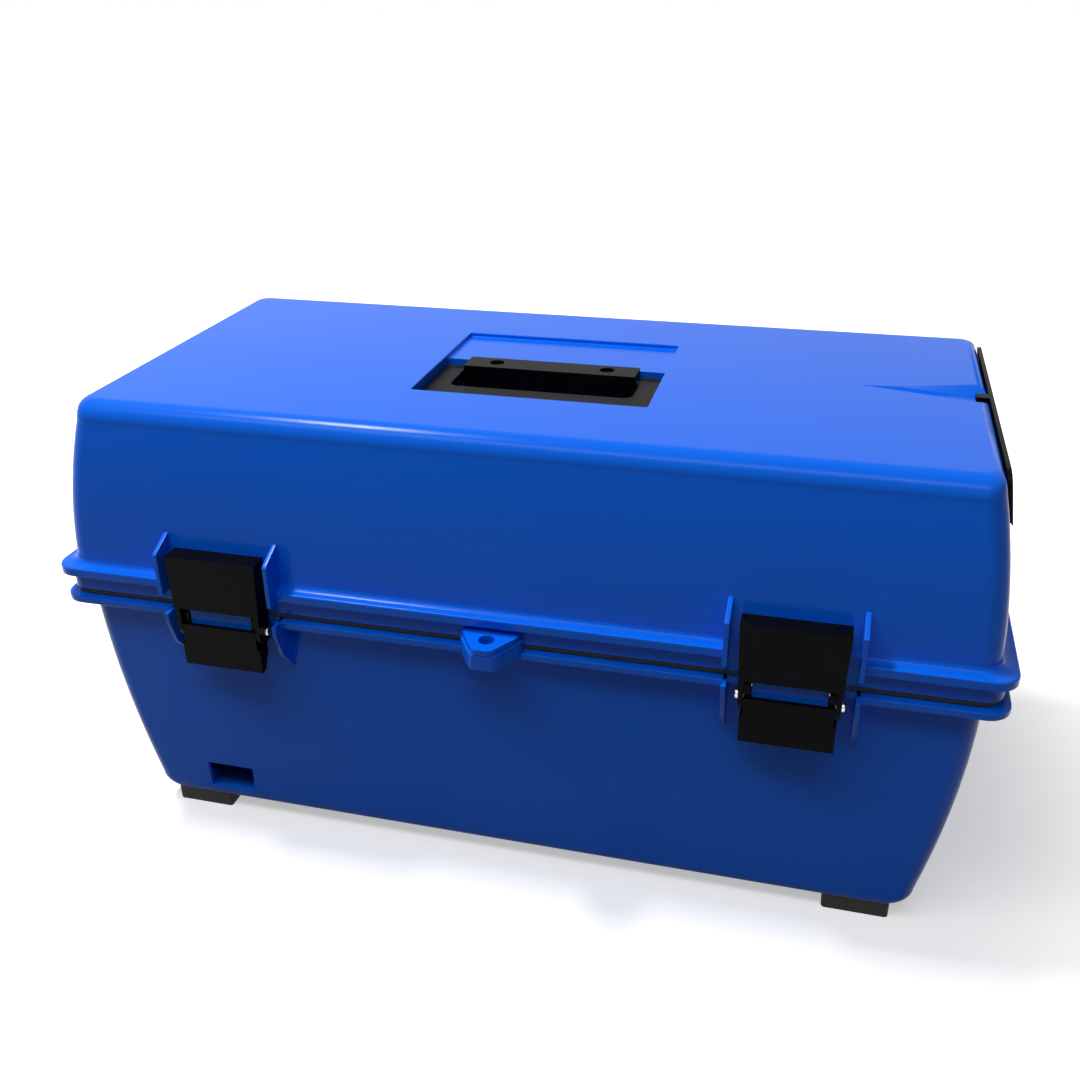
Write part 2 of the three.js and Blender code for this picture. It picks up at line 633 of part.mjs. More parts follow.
// A socket-head screw whose head's underside is at the origin.
function screw({ shank, head, headHeight }, length, headUp) {
  const sign = headUp ? 1 : -1;
  const stem = rod("z", onSide(sign, [-length, 0.5]), [0, 0], shank, 12);
  const cap = rod("z", onSide(sign, [0, headHeight]), [0, 0], head);
  const socket = rod("z", onSide(sign, [headHeight - 1.6, headHeight + 1]), [0, 0], head * 0.45, 6);
  return stem.add(cap).subtract(socket);
}

// ---- Latches, each built about its own centre line
const leverPivot = [FRONT - LEVER_PIVOT.out, RIM_TOP + LEVER_PIVOT.up];
const linkPivot = [FRONT - LINK_PIVOT.out, RIM_TOP + LINK_PIVOT.up];

function latchLever() {
  const at = (up) => RIM_TOP + up;
  const inside = FACE + PLATE;
  const back = linkPivot[0] + 4.2;
  const earRadius = 4;
  const earOutline = [
    [FACE, at(LEVER.shoulder) - 3],
    [back - 3, at(LEVER.shoulder) - 3],
    [back, at(LINK_PIVOT.up) - 4],
    [back, at(LINK_PIVOT.up)],
    ...arc(leverPivot, earRadius, 0, 180),
    [inside, at(LEVER.top)],
    [FACE, at(LEVER.top)],
  ];
  const flangeOutline = [
    [FACE, at(LEVER.foot)],
    [inside + 2, at(LEVER.foot)],
    [back - 2, at(LEVER.shoulder) - 5],
    [back - 2, at(LEVER.shoulder)],
    [FACE, at(LEVER.shoulder)],
  ];
  const upper = box([-LEVER.half, LEVER.half], [FACE, inside], [at(LEVER.shoulder) - 1, at(LEVER.top)]);
  const lower = box([-LEVER_WIDE, LEVER_WIDE], [FACE, inside], [at(LEVER.foot), at(LEVER.shoulder)]);
  let body = upper.add(lower);
  for (const side of [-1, 1]) {
    const ear = onSide(side, [LEVER.half - LEVER.ear, LEVER.half]);
    const flange = onSide(side, [LEVER_WIDE - LEVER.flange, LEVER_WIDE]);
    body = joined(body, slab("x", ear, earOutline), slab("x", flange, flangeOutline));
  }
  const through = [-LEVER.half - 1, LEVER.half + 1];
  return cut(
    body,
    rod("x", through, leverPivot, LEVER_PIN_RADIUS + SEAT, 16),
    rod("x", through, linkPivot, LINK_PIN.radius + SEAT, 16),
  );
}

function latchClaw() {
  const legFoot = linkPivot[1] - LEG_RADIUS;
  const hookFoot = RIM_TOP + HOOK_UP + RUN;
  const top = hookFoot + HOOK_THICK;
  const back = FRONT + CLAW.cheekBack;
  const quad = (half, [y0, y1], z) => [[half, y0, z], [half, y1, z], [-half, y1, z], [-half, y0, z]];
  const shell = loft([quad(CLAW_FOOT, [FACE, back], legFoot), quad(CLAW_TOP, [FACE, back], top)]);
  const slope = (CLAW_TOP - CLAW_FOOT) / (top - legFoot);
  const innerHalf = (z) => CLAW_FOOT - CLAW.cheek + slope * (z - legFoot);
  const hollowY = [FACE + PLATE, back + 5];
  const hollow = loft([legFoot - 5, hookFoot].map((z) => quad(innerHalf(z), hollowY, z)));
  const windowHalf = innerHalf(legFoot);
  const window = box([-windowHalf, windowHalf], [FACE - 1, FRONT], [legFoot - 1, RIM_TOP + CLAW.window]);
  const across = [-CLAW_TOP - 1, CLAW_TOP + 1];
  const footSpace = box(across, [FACE - 1, back + 1], [legFoot - 1, linkPivot[1]]);
  const roundedFoot = footSpace.subtract(rod("x", across, linkPivot, LEG_RADIUS, 32));
  const pinHole = rod("x", across, linkPivot, LINK_PIN.radius + SEAT, 16);
  return cut(shell, hollow, window, roundedFoot, pinHole);
}

function leverPin() {
  return rod("x", [-LEVER.half + 0.2, LEVER.half - 0.2], [0, 0], LEVER_PIN_RADIUS, 16);
}

function linkPin(side) {
  const inner = LEVER.half - LEVER.ear + SEAT;
  const underHead = CLAW_FOOT + 2 * RUN;
  const shank = rod("x", onSide(side, [inner, underHead + 0.5]), [0, 0], LINK_PIN.radius, 16);
  const head = rod("x", onSide(side, [underHead, underHead + LINK_PIN.headThick]), [0, 0], LINK_PIN.head, 16);
  return shank.add(head);
}

// ---- Feet
function foot() {
  const [x, y] = [FOOT.length / 2, FOOT.width / 2];
  const outline = roundedOutline([-x, x], [-y, y], 2, 2);
  const block = slab("z", [0, FOOT_HEIGHT - SEAT], outline);
  const sink = rod("z", [-1, FOOT.sink], [0, 0], FOOT.sinkRadius);
  return cut(block, sink, rod("z", [0, FOOT_HEIGHT + 1], [0, 0], FOOT.hole, 12));
}

// ---- Cable-port cover
function endCover() {
  const { x: axisX, z: axisZ } = coverAxis();
  const half = coverHalf();
  const outer = (z) => endWall(z) + COVER.stand;
  const top = TOP - COVER.top;
  const plate = slab("y", [-half, half], [
    [outer(axisZ) - COVER.thick, axisZ],
    [outer(axisZ), axisZ],
    [outer(top), top],
    [outer(top) - COVER.thick, top],
  ]);
  const outline = roundedOutline([-half, half], [axisZ - 40, top], COVER.corner);
  const rounded = plate.intersect(slab("x", [LIP_X - 60, LIP_X + 10], outline));
  const barrelEnd = COVER_LUG.inner - RUN;
  const barrel = rod("y", [-barrelEnd, barrelEnd], [axisX, axisZ], COVER_BARREL);
  const snapX = [endWall(top) - SNAP.reach + 3, outer(top) - COVER.thick / 2];
  const snapY = [GROOVE.y - SNAP.half, GROOVE.y + SNAP.half];
  const snap = box(snapX, snapY, [TOP - SNAP.foot, TOP - SNAP.top]);
  let body = joined(rounded, barrel, snap);
  for (const side of [-1, 1]) {
    const span = onSide(side, [barrelEnd, COVER_LUG.inner + COVER_LUG.width + RUN]);
    const room = COVER_BARREL + 1.2;
    body = body.subtract(box([axisX - 8, axisX + 8], span, [axisZ - room, axisZ + room]));
  }
  return body.subtract(rod("y", [-half, half], [axisX, axisZ], COVER_PIN_RADIUS + SEAT, 12));
}

function coverPin() {
  const end = COVER_LUG.inner + COVER_LUG.width;
  return rod("y", [-end, end], [0, 0], COVER_PIN_RADIUS, 12);
}

// ---- The assembly
function placed(made, x, y, z) {
  made.position.set(x, y, z);
  return made;
}

function baseGroup() {
  const group = new THREE.Group();
  group.add(mesh("base_shell", baseShell(), BLUE));
  group.add(mesh("rim_gasket", rimGasket(), RUBBER));
  for (const { name, x, y } of footCentres) {
    group.add(placed(mesh(`${name}_foot`, foot(), RUBBER), x, y, 0));
    const length = FOOT_HEIGHT - FOOT.sink + FOOT_SCREW.bite - SEAT;
    const turned = screw(FOOT_SCREW, length, false);
    group.add(placed(mesh(`${name}_foot_screw`, turned, STEEL), x, y, FOOT.sink - SEAT));
  }
  for (const [name, side] of SIDES) {
    group.add(placed(mesh(`${name}_hinge_pin`, hingePin(), STEEL), side * LATCH_X, HINGE_Y, HINGE_Z));
  }
  return group;
}

function lidGroup() {
  const group = new THREE.Group();
  const axis = coverAxis();
  group.add(mesh("lid_shell", lidShell(), BLUE));
  group.add(mesh("carry_handle", carryHandle(), BLACK));
  group.add(mesh("handle_clamp", handleClamp(), BLACK));
  group.add(mesh("end_cover", endCover(), BLACK));
  group.add(placed(mesh("end_cover_pin", coverPin(), STEEL), axis.x, 0, axis.z));
  const seat = TOP - CLAMP.below - CLAMP_SCREW.sink + SEAT;
  const length = seat - WELL_FLOOR + CLAMP_SCREW.bite;
  for (const [name, side] of SIDES) {
    const held = mesh(`${name}_clamp_screw`, screw(CLAMP_SCREW, length, true), STEEL);
    group.add(placed(held, side * CLAMP_SCREW_X, CLAMP.screwY, seat));
    group.add(placed(mesh(`${name}_handle_pin`, handlePin(side), STEEL), 0, PIVOT_Y, PIVOT_Z));
  }
  return group;
}

function latchGroup(name, x) {
  const group = new THREE.Group();
  group.position.x = x;
  group.add(mesh(`${name}_latch_lever`, latchLever(), BLACK));
  group.add(mesh(`${name}_latch_claw`, latchClaw(), BLACK));
  group.add(placed(mesh(`${name}_lever_pin`, leverPin(), STEEL), 0, ...leverPivot));
  for (const [end, side] of SIDES) {
    group.add(placed(mesh(`${name}_latch_${end}_link_pin`, linkPin(side), STEEL), 0, ...linkPivot));
  }
  return group;
}

const batteryBox = new THREE.Group();
batteryBox.name = "battery_box";
batteryBox.add(baseGroup(), lidGroup());
for (const [name, side] of SIDES) {
  batteryBox.add(latchGroup(name, side * LATCH_X));
}

export default batteryBox;
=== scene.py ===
import math
from collections import namedtuple

import bmesh
import bpy
from mathutils import Matrix, Vector


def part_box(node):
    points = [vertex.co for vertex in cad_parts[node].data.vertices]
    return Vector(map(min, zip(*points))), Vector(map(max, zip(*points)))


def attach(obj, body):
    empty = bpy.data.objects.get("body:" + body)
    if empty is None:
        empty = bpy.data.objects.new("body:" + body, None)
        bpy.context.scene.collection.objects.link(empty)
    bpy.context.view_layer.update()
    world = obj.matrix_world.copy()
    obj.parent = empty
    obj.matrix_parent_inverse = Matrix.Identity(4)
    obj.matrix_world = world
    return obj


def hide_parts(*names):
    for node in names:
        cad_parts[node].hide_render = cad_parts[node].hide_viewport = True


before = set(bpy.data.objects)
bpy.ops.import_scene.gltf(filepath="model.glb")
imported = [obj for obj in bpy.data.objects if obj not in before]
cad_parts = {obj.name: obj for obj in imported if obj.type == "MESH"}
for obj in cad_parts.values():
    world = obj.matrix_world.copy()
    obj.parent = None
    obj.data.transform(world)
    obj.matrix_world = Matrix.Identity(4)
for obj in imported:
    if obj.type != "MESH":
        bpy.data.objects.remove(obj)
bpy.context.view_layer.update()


def corners_mm(node):
    low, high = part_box(node)
    return low * 1000, high * 1000


# ---- Clearances, walls and small edges
# SEAT is the gap between still pieces, RUN the gap between moving ones.
SEAT = 0.3
RUN = 0.4
BASE_WALL = 3.5
LID_WALL = 3.2
SOFT_EDGE = 0.5
# How far a root is sunk into its wall, and how far a cut or a join runs past a face.
ROOT = 1.5
OVERRUN = 1

# ---- Places taken from the frame
seal_low, seal_high = corners_mm("rim_gasket")
pin_low, pin_high = corners_mm("right_hinge_pin")
cover_low, cover_high = corners_mm("end_cover")
cover_pin_low, cover_pin_high = corners_mm("end_cover_pin")
lid_high = corners_mm("lid_shell")[1]
foot_high = corners_mm("front_left_foot")[1]
SEAL_INSET = 1
SKIRT_INSET = 5.6
SKIRT_X = seal_high.x + SEAL_INSET
SKIRT_Y = seal_high.y + SEAL_INSET
LIP_X = lid_high.x
LIP_Y = SKIRT_Y + SKIRT_INSET
FRONT = -LIP_Y
UNDERSIDE = foot_high.z + SEAT
RIM_TOP = seal_low.z - SEAT
SKIRT_FOOT = seal_high.z + SEAT
TOP = lid_high.z
HINGE_Y = (pin_low.y + pin_high.y) / 2
HINGE_Z = (pin_low.z + pin_high.z) / 2
LATCH_X = (pin_low.x + pin_high.x) / 2
LATCH_FACE = corners_mm("right_latch_claw")[0].y
COVER_AXIS_X = (cover_pin_low.x + cover_pin_high.x) / 2
COVER_AXIS_Z = (cover_pin_low.z + cover_pin_high.z) / 2

# ---- Base
BASE_CORNER = 12
RIM_THICK = 5
RIM_FOOT = RIM_TOP - RIM_THICK
RIM_INSET = 1.2
RIM_X = LIP_X - RIM_INSET
RIM_Y = LIP_Y - RIM_INSET
RIM_SHELF_X = 13.4
RIM_SHELF_Y = 10.6
RIM_EDGE = 1
END_TUCK = 21.7
END_TUCK_POWER = 1.9
FRONT_TUCK = 9
KEEL_RADIUS = 11
KEEL_SOFTEN = 2.5
PORT = {"x": -204.5, "half": 17, "foot": 7.7, "height": 20, "deep": 14}
PORT_EDGE = {"round": 0.5, "turn": math.radians(70), "mouth": 2, "corner": 3, "stand": 1.2}
FOOT_BOSS = {"radius": 6, "height": 6.5}

# ---- Lid
LID_CORNER = 12
LIP_THICK = 4.9
LIP_SHELF = 7.2
LIP_EDGE = 1.2
SKIRT_HEIGHT = 11.6
LIP_FOOT = SKIRT_FOOT + SKIRT_HEIGHT
LIP_TOP = LIP_FOOT + LIP_THICK
COVE_HEIGHT = 4.6
END_SHELF = 9.7
END_BELLY = 0.00112
FRONT_DRAFT = 0.035
FRONT_BELLY = 0.001
FRONT_ROUND = 13
END_ROUND = 5
TOP_CORNER = 7
WELL = {"half": 76.3, "front": -63.4, "back": 11.3}
WELL_FLOOR = corners_mm("handle_clamp")[0].z - SEAT
WELL_ROUND = {"foot": 1.5, "edge": 0.8}
TUB_ROUND = 2
LABEL = {"back": 63.9, "deep": 3, "overlap": 8}
LABEL_ROUND = {"foot": 0.9, "edge": 0.8}
LABEL_PAD = {"inset": 0.4, "drop": 0.2}
RECESS_CORNER = 2
RECESS_TURN = math.radians(72)
ABOVE_TOP = 2
GROOVE = {"length": 76.4, "y": 6.2, "half": 19.2, "deep": 7.6, "past": 1.7, "round": 6.5}
GROOVE_TIP = 0.02
GROOVE_CUT_PAST = 12
INSIDE_STEPS = {"below_lip": 3, "above_lip": 8}
CABLE_PORT = {"half": 90, "foot": 28, "top": 13, "deep": 12, "corner": 2}
CLAMP_BOSS = {"x": 38, "y": 1.5, "radius": 5.7, "height": 9}

# ---- Latch fittings, ribs, hasp and knuckles
CUT_BACK = 6.3
GAP_ABOVE_LIP = 12
RIB_X = 37.65
RIB_THICK = 3
LID_RIB = {"out": 8.1, "foot": 0.6, "above_ledge": 5.7, "nose": 1.6, "nose_drop": 1.5, "rise": 7.2}
BASE_RIB = {"out": 5.9, "foot": 41, "knee": 33, "knee_out": 6, "waist": 24, "shoulder": 6}
LEDGE = {"half": 26.5, "up": 38.8, "thick": 4.5, "out": 1.4}
BAR = {"half": 21.5, "out": 3.9, "up": 4.3, "down": 6.2, "root": 2}
KNUCKLE = {"radius": 7.5, "bore": 3.3, "lid_half": 15, "half": 30.5, "web": 22, "web_back": 4.5}
LID_ARM = {"foot_back": 6.5, "waist_back": 4, "waist_up": 3, "crown_out": 3.5, "crown_up": 5}
HASP = {"half": 17.5, "tip": 5.6, "thick": 3.6, "drop": 3.6, "corner": 2.5}
HASP_HOLE = {"radius": 5, "out": 7}
BASE_HASP = {"wider": 1.6, "drop": 2.2, "root": 1.1}
COVER_LUG = {"inner": 52, "width": 6, "radius": 2.15, "bore": 1.3, "web_back": 1.4, "edge": 0.3}
COVER_SEAT = {"plate": 2.6, "lean": 0.157, "hem": 4.3, "hem_height": 4.5}
END_THICKER = 1.5

# ---- Edge rounding of the black and rubber mouldings
EDGE_ROUND = {"rim_gasket": 0.7, "carry_handle": 1, "handle_clamp": 0.7, "end_cover": 0.7}
LATCH_EDGE = 0.4
FOOT_EDGE = 2.2

# ---- Pins and screws
PIN_EDGE = 0.35
COVER_PIN_EDGE = 0.2
LINK_PIN = {"head": 2.2, "shank": 1.9, "dome": 1.3}
SCREW_HEAD = {"edge": 0.4, "over_shank": 0.5}
SOCKET = {"deep": 1.6, "share": 0.52}
CLAMP_SCREW = {"shank": 2.5, "head": 3.5}
FOOT_SCREW = {"shank": 2, "head": 2.6}

CORNER_STEPS = 10
SMOOTH_ANGLE = math.radians(32)
SIDES = (("left", -1), ("right", 1))
AXES = {"x": Vector((1, 0, 0)), "y": Vector((0, 1, 0)), "z": Vector((0, 0, 1))}
TURNS = {
    "x": Matrix.Rotation(math.pi / 2, 4, "Y"),
    "y": Matrix.Rotation(-math.pi / 2, 4, "X"),
    "z": Matrix.Identity(4),
}
Level = namedtuple("Level", "x y corner z")


# ---- Finishes
class Socket:
    """A node's output. Arithmetic on it adds Math nodes."""

    def __init__(self, owner, output):
        self.owner = owner
        self.output = output

    def math(self, operation, first, second):
        return self.owner.node("ShaderNodeMath", {"operation": operation}, {0: first, 1: second})

    def __add__(self, other):
        return self.math("ADD", self, other)

    def __mul__(self, other):
        return self.math("MULTIPLY", self, other)

    __radd__ = __add__
    __rmul__ = __mul__


class Shading:
    """The node tree of a material or of the world, and the shader at its end."""

    def __init__(self, owner, shader, constants):
        owner.use_nodes = True
        self.tree = owner.node_tree
        self.shader = self.tree.nodes[shader]
        for socket, value in constants.items():
            self.shader.inputs[socket].default_value = value

    def node(self, kind, settings, inputs, output=0):
        made = self.tree.nodes.new(kind)
        for name, value in settings.items():
            setattr(made, name, value)
        for name, value in inputs.items():
            if isinstance(value, Socket):
                self.tree.links.new(value.output, made.inputs[name])
            else:
                made.inputs[name].default_value = value
        return Socket(self, made.outputs[output])

    def drive(self, socket, value):
        self.tree.links.new(value.output, self.shader.inputs[socket])

    def seen_directly(self):
        """1 for the camera and in reflections or through a clear piece, 0 for other light."""
        seen = self.node("ShaderNodeLightPath", {}, {}, "Is Camera Ray")
        shiny = self.node("ShaderNodeLightPath", {}, {}, "Is Glossy Ray")
        through = self.node("ShaderNodeLightPath", {}, {}, "Is Transmission Ray")
        total = seen + shiny + through
        return total.math("MINIMUM", total, 1)


class Finish(Shading):
    """A Principled material. Constants are set on the shader's own sockets."""

    def __init__(self, name, constants):
        self.material = bpy.data.materials.new(name)
        super().__init__(self.material, "Principled BSDF", constants)
        self.place = self.node("ShaderNodeTexCoord", {}, {}, "Object")

    def stretched(self, scale):
        return self.node("ShaderNodeMapping", {}, {"Vector": self.place, "Scale": scale})

    def noise(self, scale, detail=2, place=None):
        inputs = {"Vector": place or self.place, "Scale": scale, "Detail": detail}
        return self.node("ShaderNodeTexNoise", {}, inputs)

    def between(self, value, low, high):
        """0 where value is under low, 1 over high."""
        inputs = {"Value": value, "From Min": low, "From Max": high}
        return self.node("ShaderNodeMapRange", {"interpolation_type": "SMOOTHSTEP"}, inputs)

    def mix(self, share, first, second):
        inputs = {"Factor": share, 6: first, 7: second}
        return self.node("ShaderNodeMix", {"data_type": "RGBA"}, inputs, 2)

    def bump(self, height, strength, distance):
        inputs = {"Height": height, "Strength": strength, "Distance": distance}
        self.drive("Normal", self.node("ShaderNodeBump", {}, inputs))


def blue_plastic():
    """Semi-gloss moulded plastic: faint flow clouds, a fine skin and a few hair scuffs."""
    made = Finish("blue_plastic", {"Specular IOR Level": 0.09, "IOR": 1.47})
    flow = made.noise(7, 3)
    cloud = made.noise(52, 4)
    scuff = made.between(made.noise(34, 5, made.stretched((1, 9, 9))), 0.66, 0.74)
    cross_scuff = made.between(made.noise(41, 5, made.stretched((8, 1.4, 8))), 0.68, 0.76)
    worn = scuff + cross_scuff
    tone = made.mix(flow, (0.0012, 0.112, 0.7, 1), (0.0018, 0.124, 0.74, 1))
    made.drive("Base Color", made.mix(worn * 0.02, tone, (0.05, 0.2, 0.74, 1)))
    made.drive("Roughness", 0.17 + cloud * 0.05 + worn * 0.03)
    skin = made.noise(1500, 2) + made.noise(420, 2) * 0.6
    made.bump(skin, 0.05, 0.0002)
    return made.material


def black_plastic():
    """Satin black moulded plastic with a spark-eroded grain."""
    made = Finish("black_plastic", {"Specular IOR Level": 0.035, "IOR": 1.5})
    cloud = made.noise(60, 3)
    grain = made.noise(1900, 3)
    rub = made.between(made.noise(70, 4, made.stretched((1, 1, 6))), 0.62, 0.72)
    tone = made.mix(cloud, (0.0015, 0.0018, 0.0026, 1), (0.003, 0.0033, 0.0042, 1))
    made.drive("Base Color", made.mix(rub * 0.2, tone, (0.02, 0.02, 0.022, 1)))
    made.drive("Roughness", 0.24 + grain * 0.1 + cloud * 0.06)
    made.bump(grain, 0.14, 0.00025)
    return made.material


def rubber(name, grain_scale, rough):
    """Matt black rubber with a dusty bloom."""
    made = Finish(name, {"Specular IOR Level": 0.4})
    bloom = made.noise(90, 4)
    grain = made.noise(grain_scale, 3)
    made.drive("Base Color", made.mix(bloom, (0.008, 0.008, 0.009, 1), (0.022, 0.022, 0.023, 1)))
    made.drive("Roughness", rough + bloom * 0.12)
    made.bump(grain, 0.25, 0.0004)
    return made.material


def zinc_steel():
    """Bright plated steel, drawn along its length."""
    made = Finish("zinc_steel", {"Metallic": 1})
    streak = made.noise(900, 3, made.stretched((0.12, 1, 1)))
    cloud = made.noise(240, 2)
    made.drive("Base Color", made.mix(cloud, (0.5, 0.5, 0.49, 1), (0.66, 0.66, 0.65, 1)))
    made.drive("Roughness", 0.2 + streak * 0.16)
    made.bump(streak, 0.06, 0.0001)
    return made.material


def black_steel():
    """Dark steel of the clamp's screws and the handle's pins."""
    made = Finish("black_steel", {"Metallic": 1})
    cloud = made.noise(700, 3)
    made.drive("Base Color", made.mix(cloud, (0.02, 0.02, 0.021, 1), (0.045, 0.045, 0.047, 1)))
    made.drive("Roughness", 0.34 + cloud * 0.14)
    made.bump(cloud, 0.08, 0.0001)
    return made.material


BLUE = blue_plastic()
BLACK = black_plastic()
SEAL_RUBBER = rubber("seal_rubber", 1500, 0.74)
FOOT_RUBBER = rubber("foot_rubber", 1000, 0.66)
STEEL = zinc_steel()
BLACK_STEEL = black_steel()


# ---- Making shapes
def shares(count):
    return [i / count for i in range(count + 1)]


def verts_of(made):
    return [item for item in made["geom"] if isinstance(item, bmesh.types.BMVert)]


def stacked(levels):
    """A closed shape through round-cornered rectangles about the Z axis, one level to the next."""
    bm = bmesh.new()
    first = levels[0]
    bmesh.ops.create_grid(bm, x_segments=1, y_segments=1, size=1)
    bmesh.ops.scale(bm, vec=(first.x, first.y, 1), verts=bm.verts)
    bmesh.ops.translate(bm, vec=(0, 0, first.z), verts=bm.verts)
    bmesh.ops.bevel(
        bm,
        geom=list(bm.verts),
        affect="VERTICES",
        offset=first.corner,
        segments=CORNER_STEPS,
        profile=0.5,
        material=-1,
    )
    loop = list(bm.edges)
    for old, new in zip(levels, levels[1:]):
        made = bmesh.ops.extrude_edge_only(bm, edges=loop)
        loop = [e for e in made["geom"] if isinstance(e, bmesh.types.BMEdge) and e.is_boundary]
        grow = new.corner / old.corner
        for v in verts_of(made):
            side = Vector((math.copysign(1, v.co.x), math.copysign(1, v.co.y), 0))
            old_middle = Vector((side.x * (old.x - old.corner), side.y * (old.y - old.corner), old.z))
            new_middle = Vector((side.x * (new.x - new.corner), side.y * (new.y - new.corner), new.z))
            v.co = new_middle + (v.co - old_middle) * grow
    bmesh.ops.edgeloop_fill(bm, edges=loop)
    return bm


def add_slab(bm, axis, span, outline):
    """An outline in (y, z), (x, z) or (x, y), pushed along x, y or z."""
    low, high = span
    place = {
        "x": lambda u, v: (low, u, v),
        "y": lambda u, v: (u, low, v),
        "z": lambda u, v: (u, v, low),
    }[axis]
    face = bm.faces.new([bm.verts.new(place(u, v)) for u, v in outline])
    made = bmesh.ops.extrude_face_region(bm, geom=[face])
    bmesh.ops.translate(bm, verts=verts_of(made), vec=AXES[axis] * (high - low))
    return bm


def add_block(bm, x, y, z):
    return add_slab(bm, "z", z, [(x[0], y[0]), (x[1], y[0]), (x[1], y[1]), (x[0], y[1])])


def axis_place(axis, centre, middle):
    """The turn and place of a round shape along an axis; centre holds its two other coordinates."""
    spot = list(centre)
    spot.insert("xyz".index(axis), middle)
    return Matrix.Translation(spot) @ TURNS[axis]


def add_rod(bm, axis, span, centre, radius, sides=48):
    low, high = span
    bmesh.ops.create_cone(
        bm,
        cap_ends=True,
        segments=sides,
        radius1=radius,
        radius2=radius,
        depth=high - low,
        matrix=axis_place(axis, centre, (low + high) / 2),
    )
    return bm


def add_tube(bm, axis, span, centre, radius, bore, sides=48):
    low, high = span
    place = axis_place(axis, centre, low)
    edges = []
    for size in (radius, bore):
        ring = bmesh.ops.create_circle(bm, segments=sides, radius=size, matrix=place)
        edges += {e for v in ring["verts"] for e in v.link_edges}
    faces = bmesh.ops.bridge_loops(bm, edges=edges)["faces"]
    made = bmesh.ops.extrude_face_region(bm, geom=faces)
    bmesh.ops.translate(bm, verts=verts_of(made), vec=AXES[axis] * (high - low))
    return bm


def soften(bm, width, steps=2, angle=math.radians(28)):
    """Rounds every edge that is sharper than angle."""
    bmesh.ops.recalc_face_normals(bm, faces=bm.faces)
    sharp = [e for e in bm.edges if e.is_manifold and e.calc_face_angle(0) > angle]
    bmesh.ops.bevel(
        bm,
        geom=sharp,
        affect="EDGES",
        offset=width,
        offset_type="OFFSET",
        segments=steps,
        profile=0.5,
        clamp_overlap=True,
        material=-1,
    )
    return bm


def to_object(name, bm):
    bmesh.ops.recalc_face_normals(bm, faces=bm.faces)
    bmesh.ops.scale(bm, vec=(0.001, 0.001, 0.001), verts=bm.verts)
    mesh = bpy.data.meshes.new(name)
    bm.to_mesh(mesh)
    bm.free()
    made = bpy.data.objects.new(name, mesh)
    bpy.context.scene.collection.objects.link(made)
    return made


def carve(target, operation, *tools):
    """Joins the tools to target, or cuts them from it, one after the other."""
    for bm in tools:
        tool = to_object("tool", bm)
        modifier = target.modifiers.new("carve", "BOOLEAN")
        modifier.object = tool
        modifier.operation = operation
        modifier.solver = "EXACT"
        graph = bpy.context.evaluated_depsgraph_get()
        target.data = bpy.data.meshes.new_from_object(target.evaluated_get(graph))
        target.modifiers.clear()
        bpy.data.objects.remove(tool)
    return target


def finish_piece(made, body, material, nodes=()):
    """Smooths a piece, gives it its material, and lets it ride on its body in place of its nodes."""
    mesh = made.data
    mesh.materials.clear()
    mesh.materials.append(material)
    mesh.shade_smooth()
    mesh.set_sharp_from_angle(angle=SMOOTH_ANGLE)
    made.modifiers.new("even_normals", "WEIGHTED_NORMAL").keep_sharp = True
    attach(made, body)
    if nodes:
        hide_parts(*nodes)


def piece(name, bm, body, material, nodes=()):
    finish_piece(to_object(name, bm), body, material, nodes)


# ---- Base
def base_section(z):
    """How far out the base's end and front walls are: they tuck in towards the foot."""
    share = (RIM_FOOT - z) / (RIM_FOOT - UNDERSIDE)
    x = RIM_X - RIM_SHELF_X - END_TUCK * share**END_TUCK_POWER
    y = RIM_Y - RIM_SHELF_Y - FRONT_TUCK * share
    return x, y


def bowl(inset):
    """The bowl's levels from its floor up, drawn in by inset."""
    keel_top = UNDERSIDE + KEEL_RADIUS
    radius = KEEL_RADIUS - inset
    corner = BASE_CORNER - inset
    wall_x, wall_y = base_section(keel_top)
    levels = []
    for t in shares(10):
        angle = t * math.pi / 2
        tuck = 1 - math.sin(angle)
        x = wall_x - inset - radius * tuck
        y = wall_y - inset - KEEL_SOFTEN * tuck
        levels.append(Level(x, y, corner, keel_top - radius * math.cos(angle)))
    for t in shares(18)[1:]:
        z = keel_top + (RIM_FOOT - keel_top) * t
        x, y = base_section(z)
        levels.append(Level(x - inset, y - inset, corner, z))
    return levels


def base_rim():
    """The rim's levels from its top edge out, down and under."""
    corner = BASE_CORNER + 2
    upper = []
    for t in shares(4):
        angle = t * math.pi / 2
        tuck = RIM_EDGE * (1 - math.sin(angle))
        z = RIM_TOP - RIM_EDGE * (1 - math.cos(angle))
        upper.append(Level(RIM_X - tuck, RIM_Y - tuck, corner, z))
    lower = [level._replace(z=RIM_TOP + RIM_FOOT - level.z) for level in reversed(upper)]
    return upper + lower


def latch_gap(low, high):
    """What the latches need cut from a lip or rim between two heights."""
    bm = bmesh.new()
    reach = RIB_X - RIB_THICK / 2 + SEAT
    for _, side in SIDES:
        x = side * LATCH_X
        add_block(bm, (x - reach, x + reach), (LATCH_FACE, FRONT + CUT_BACK), (low, high))
    return bm


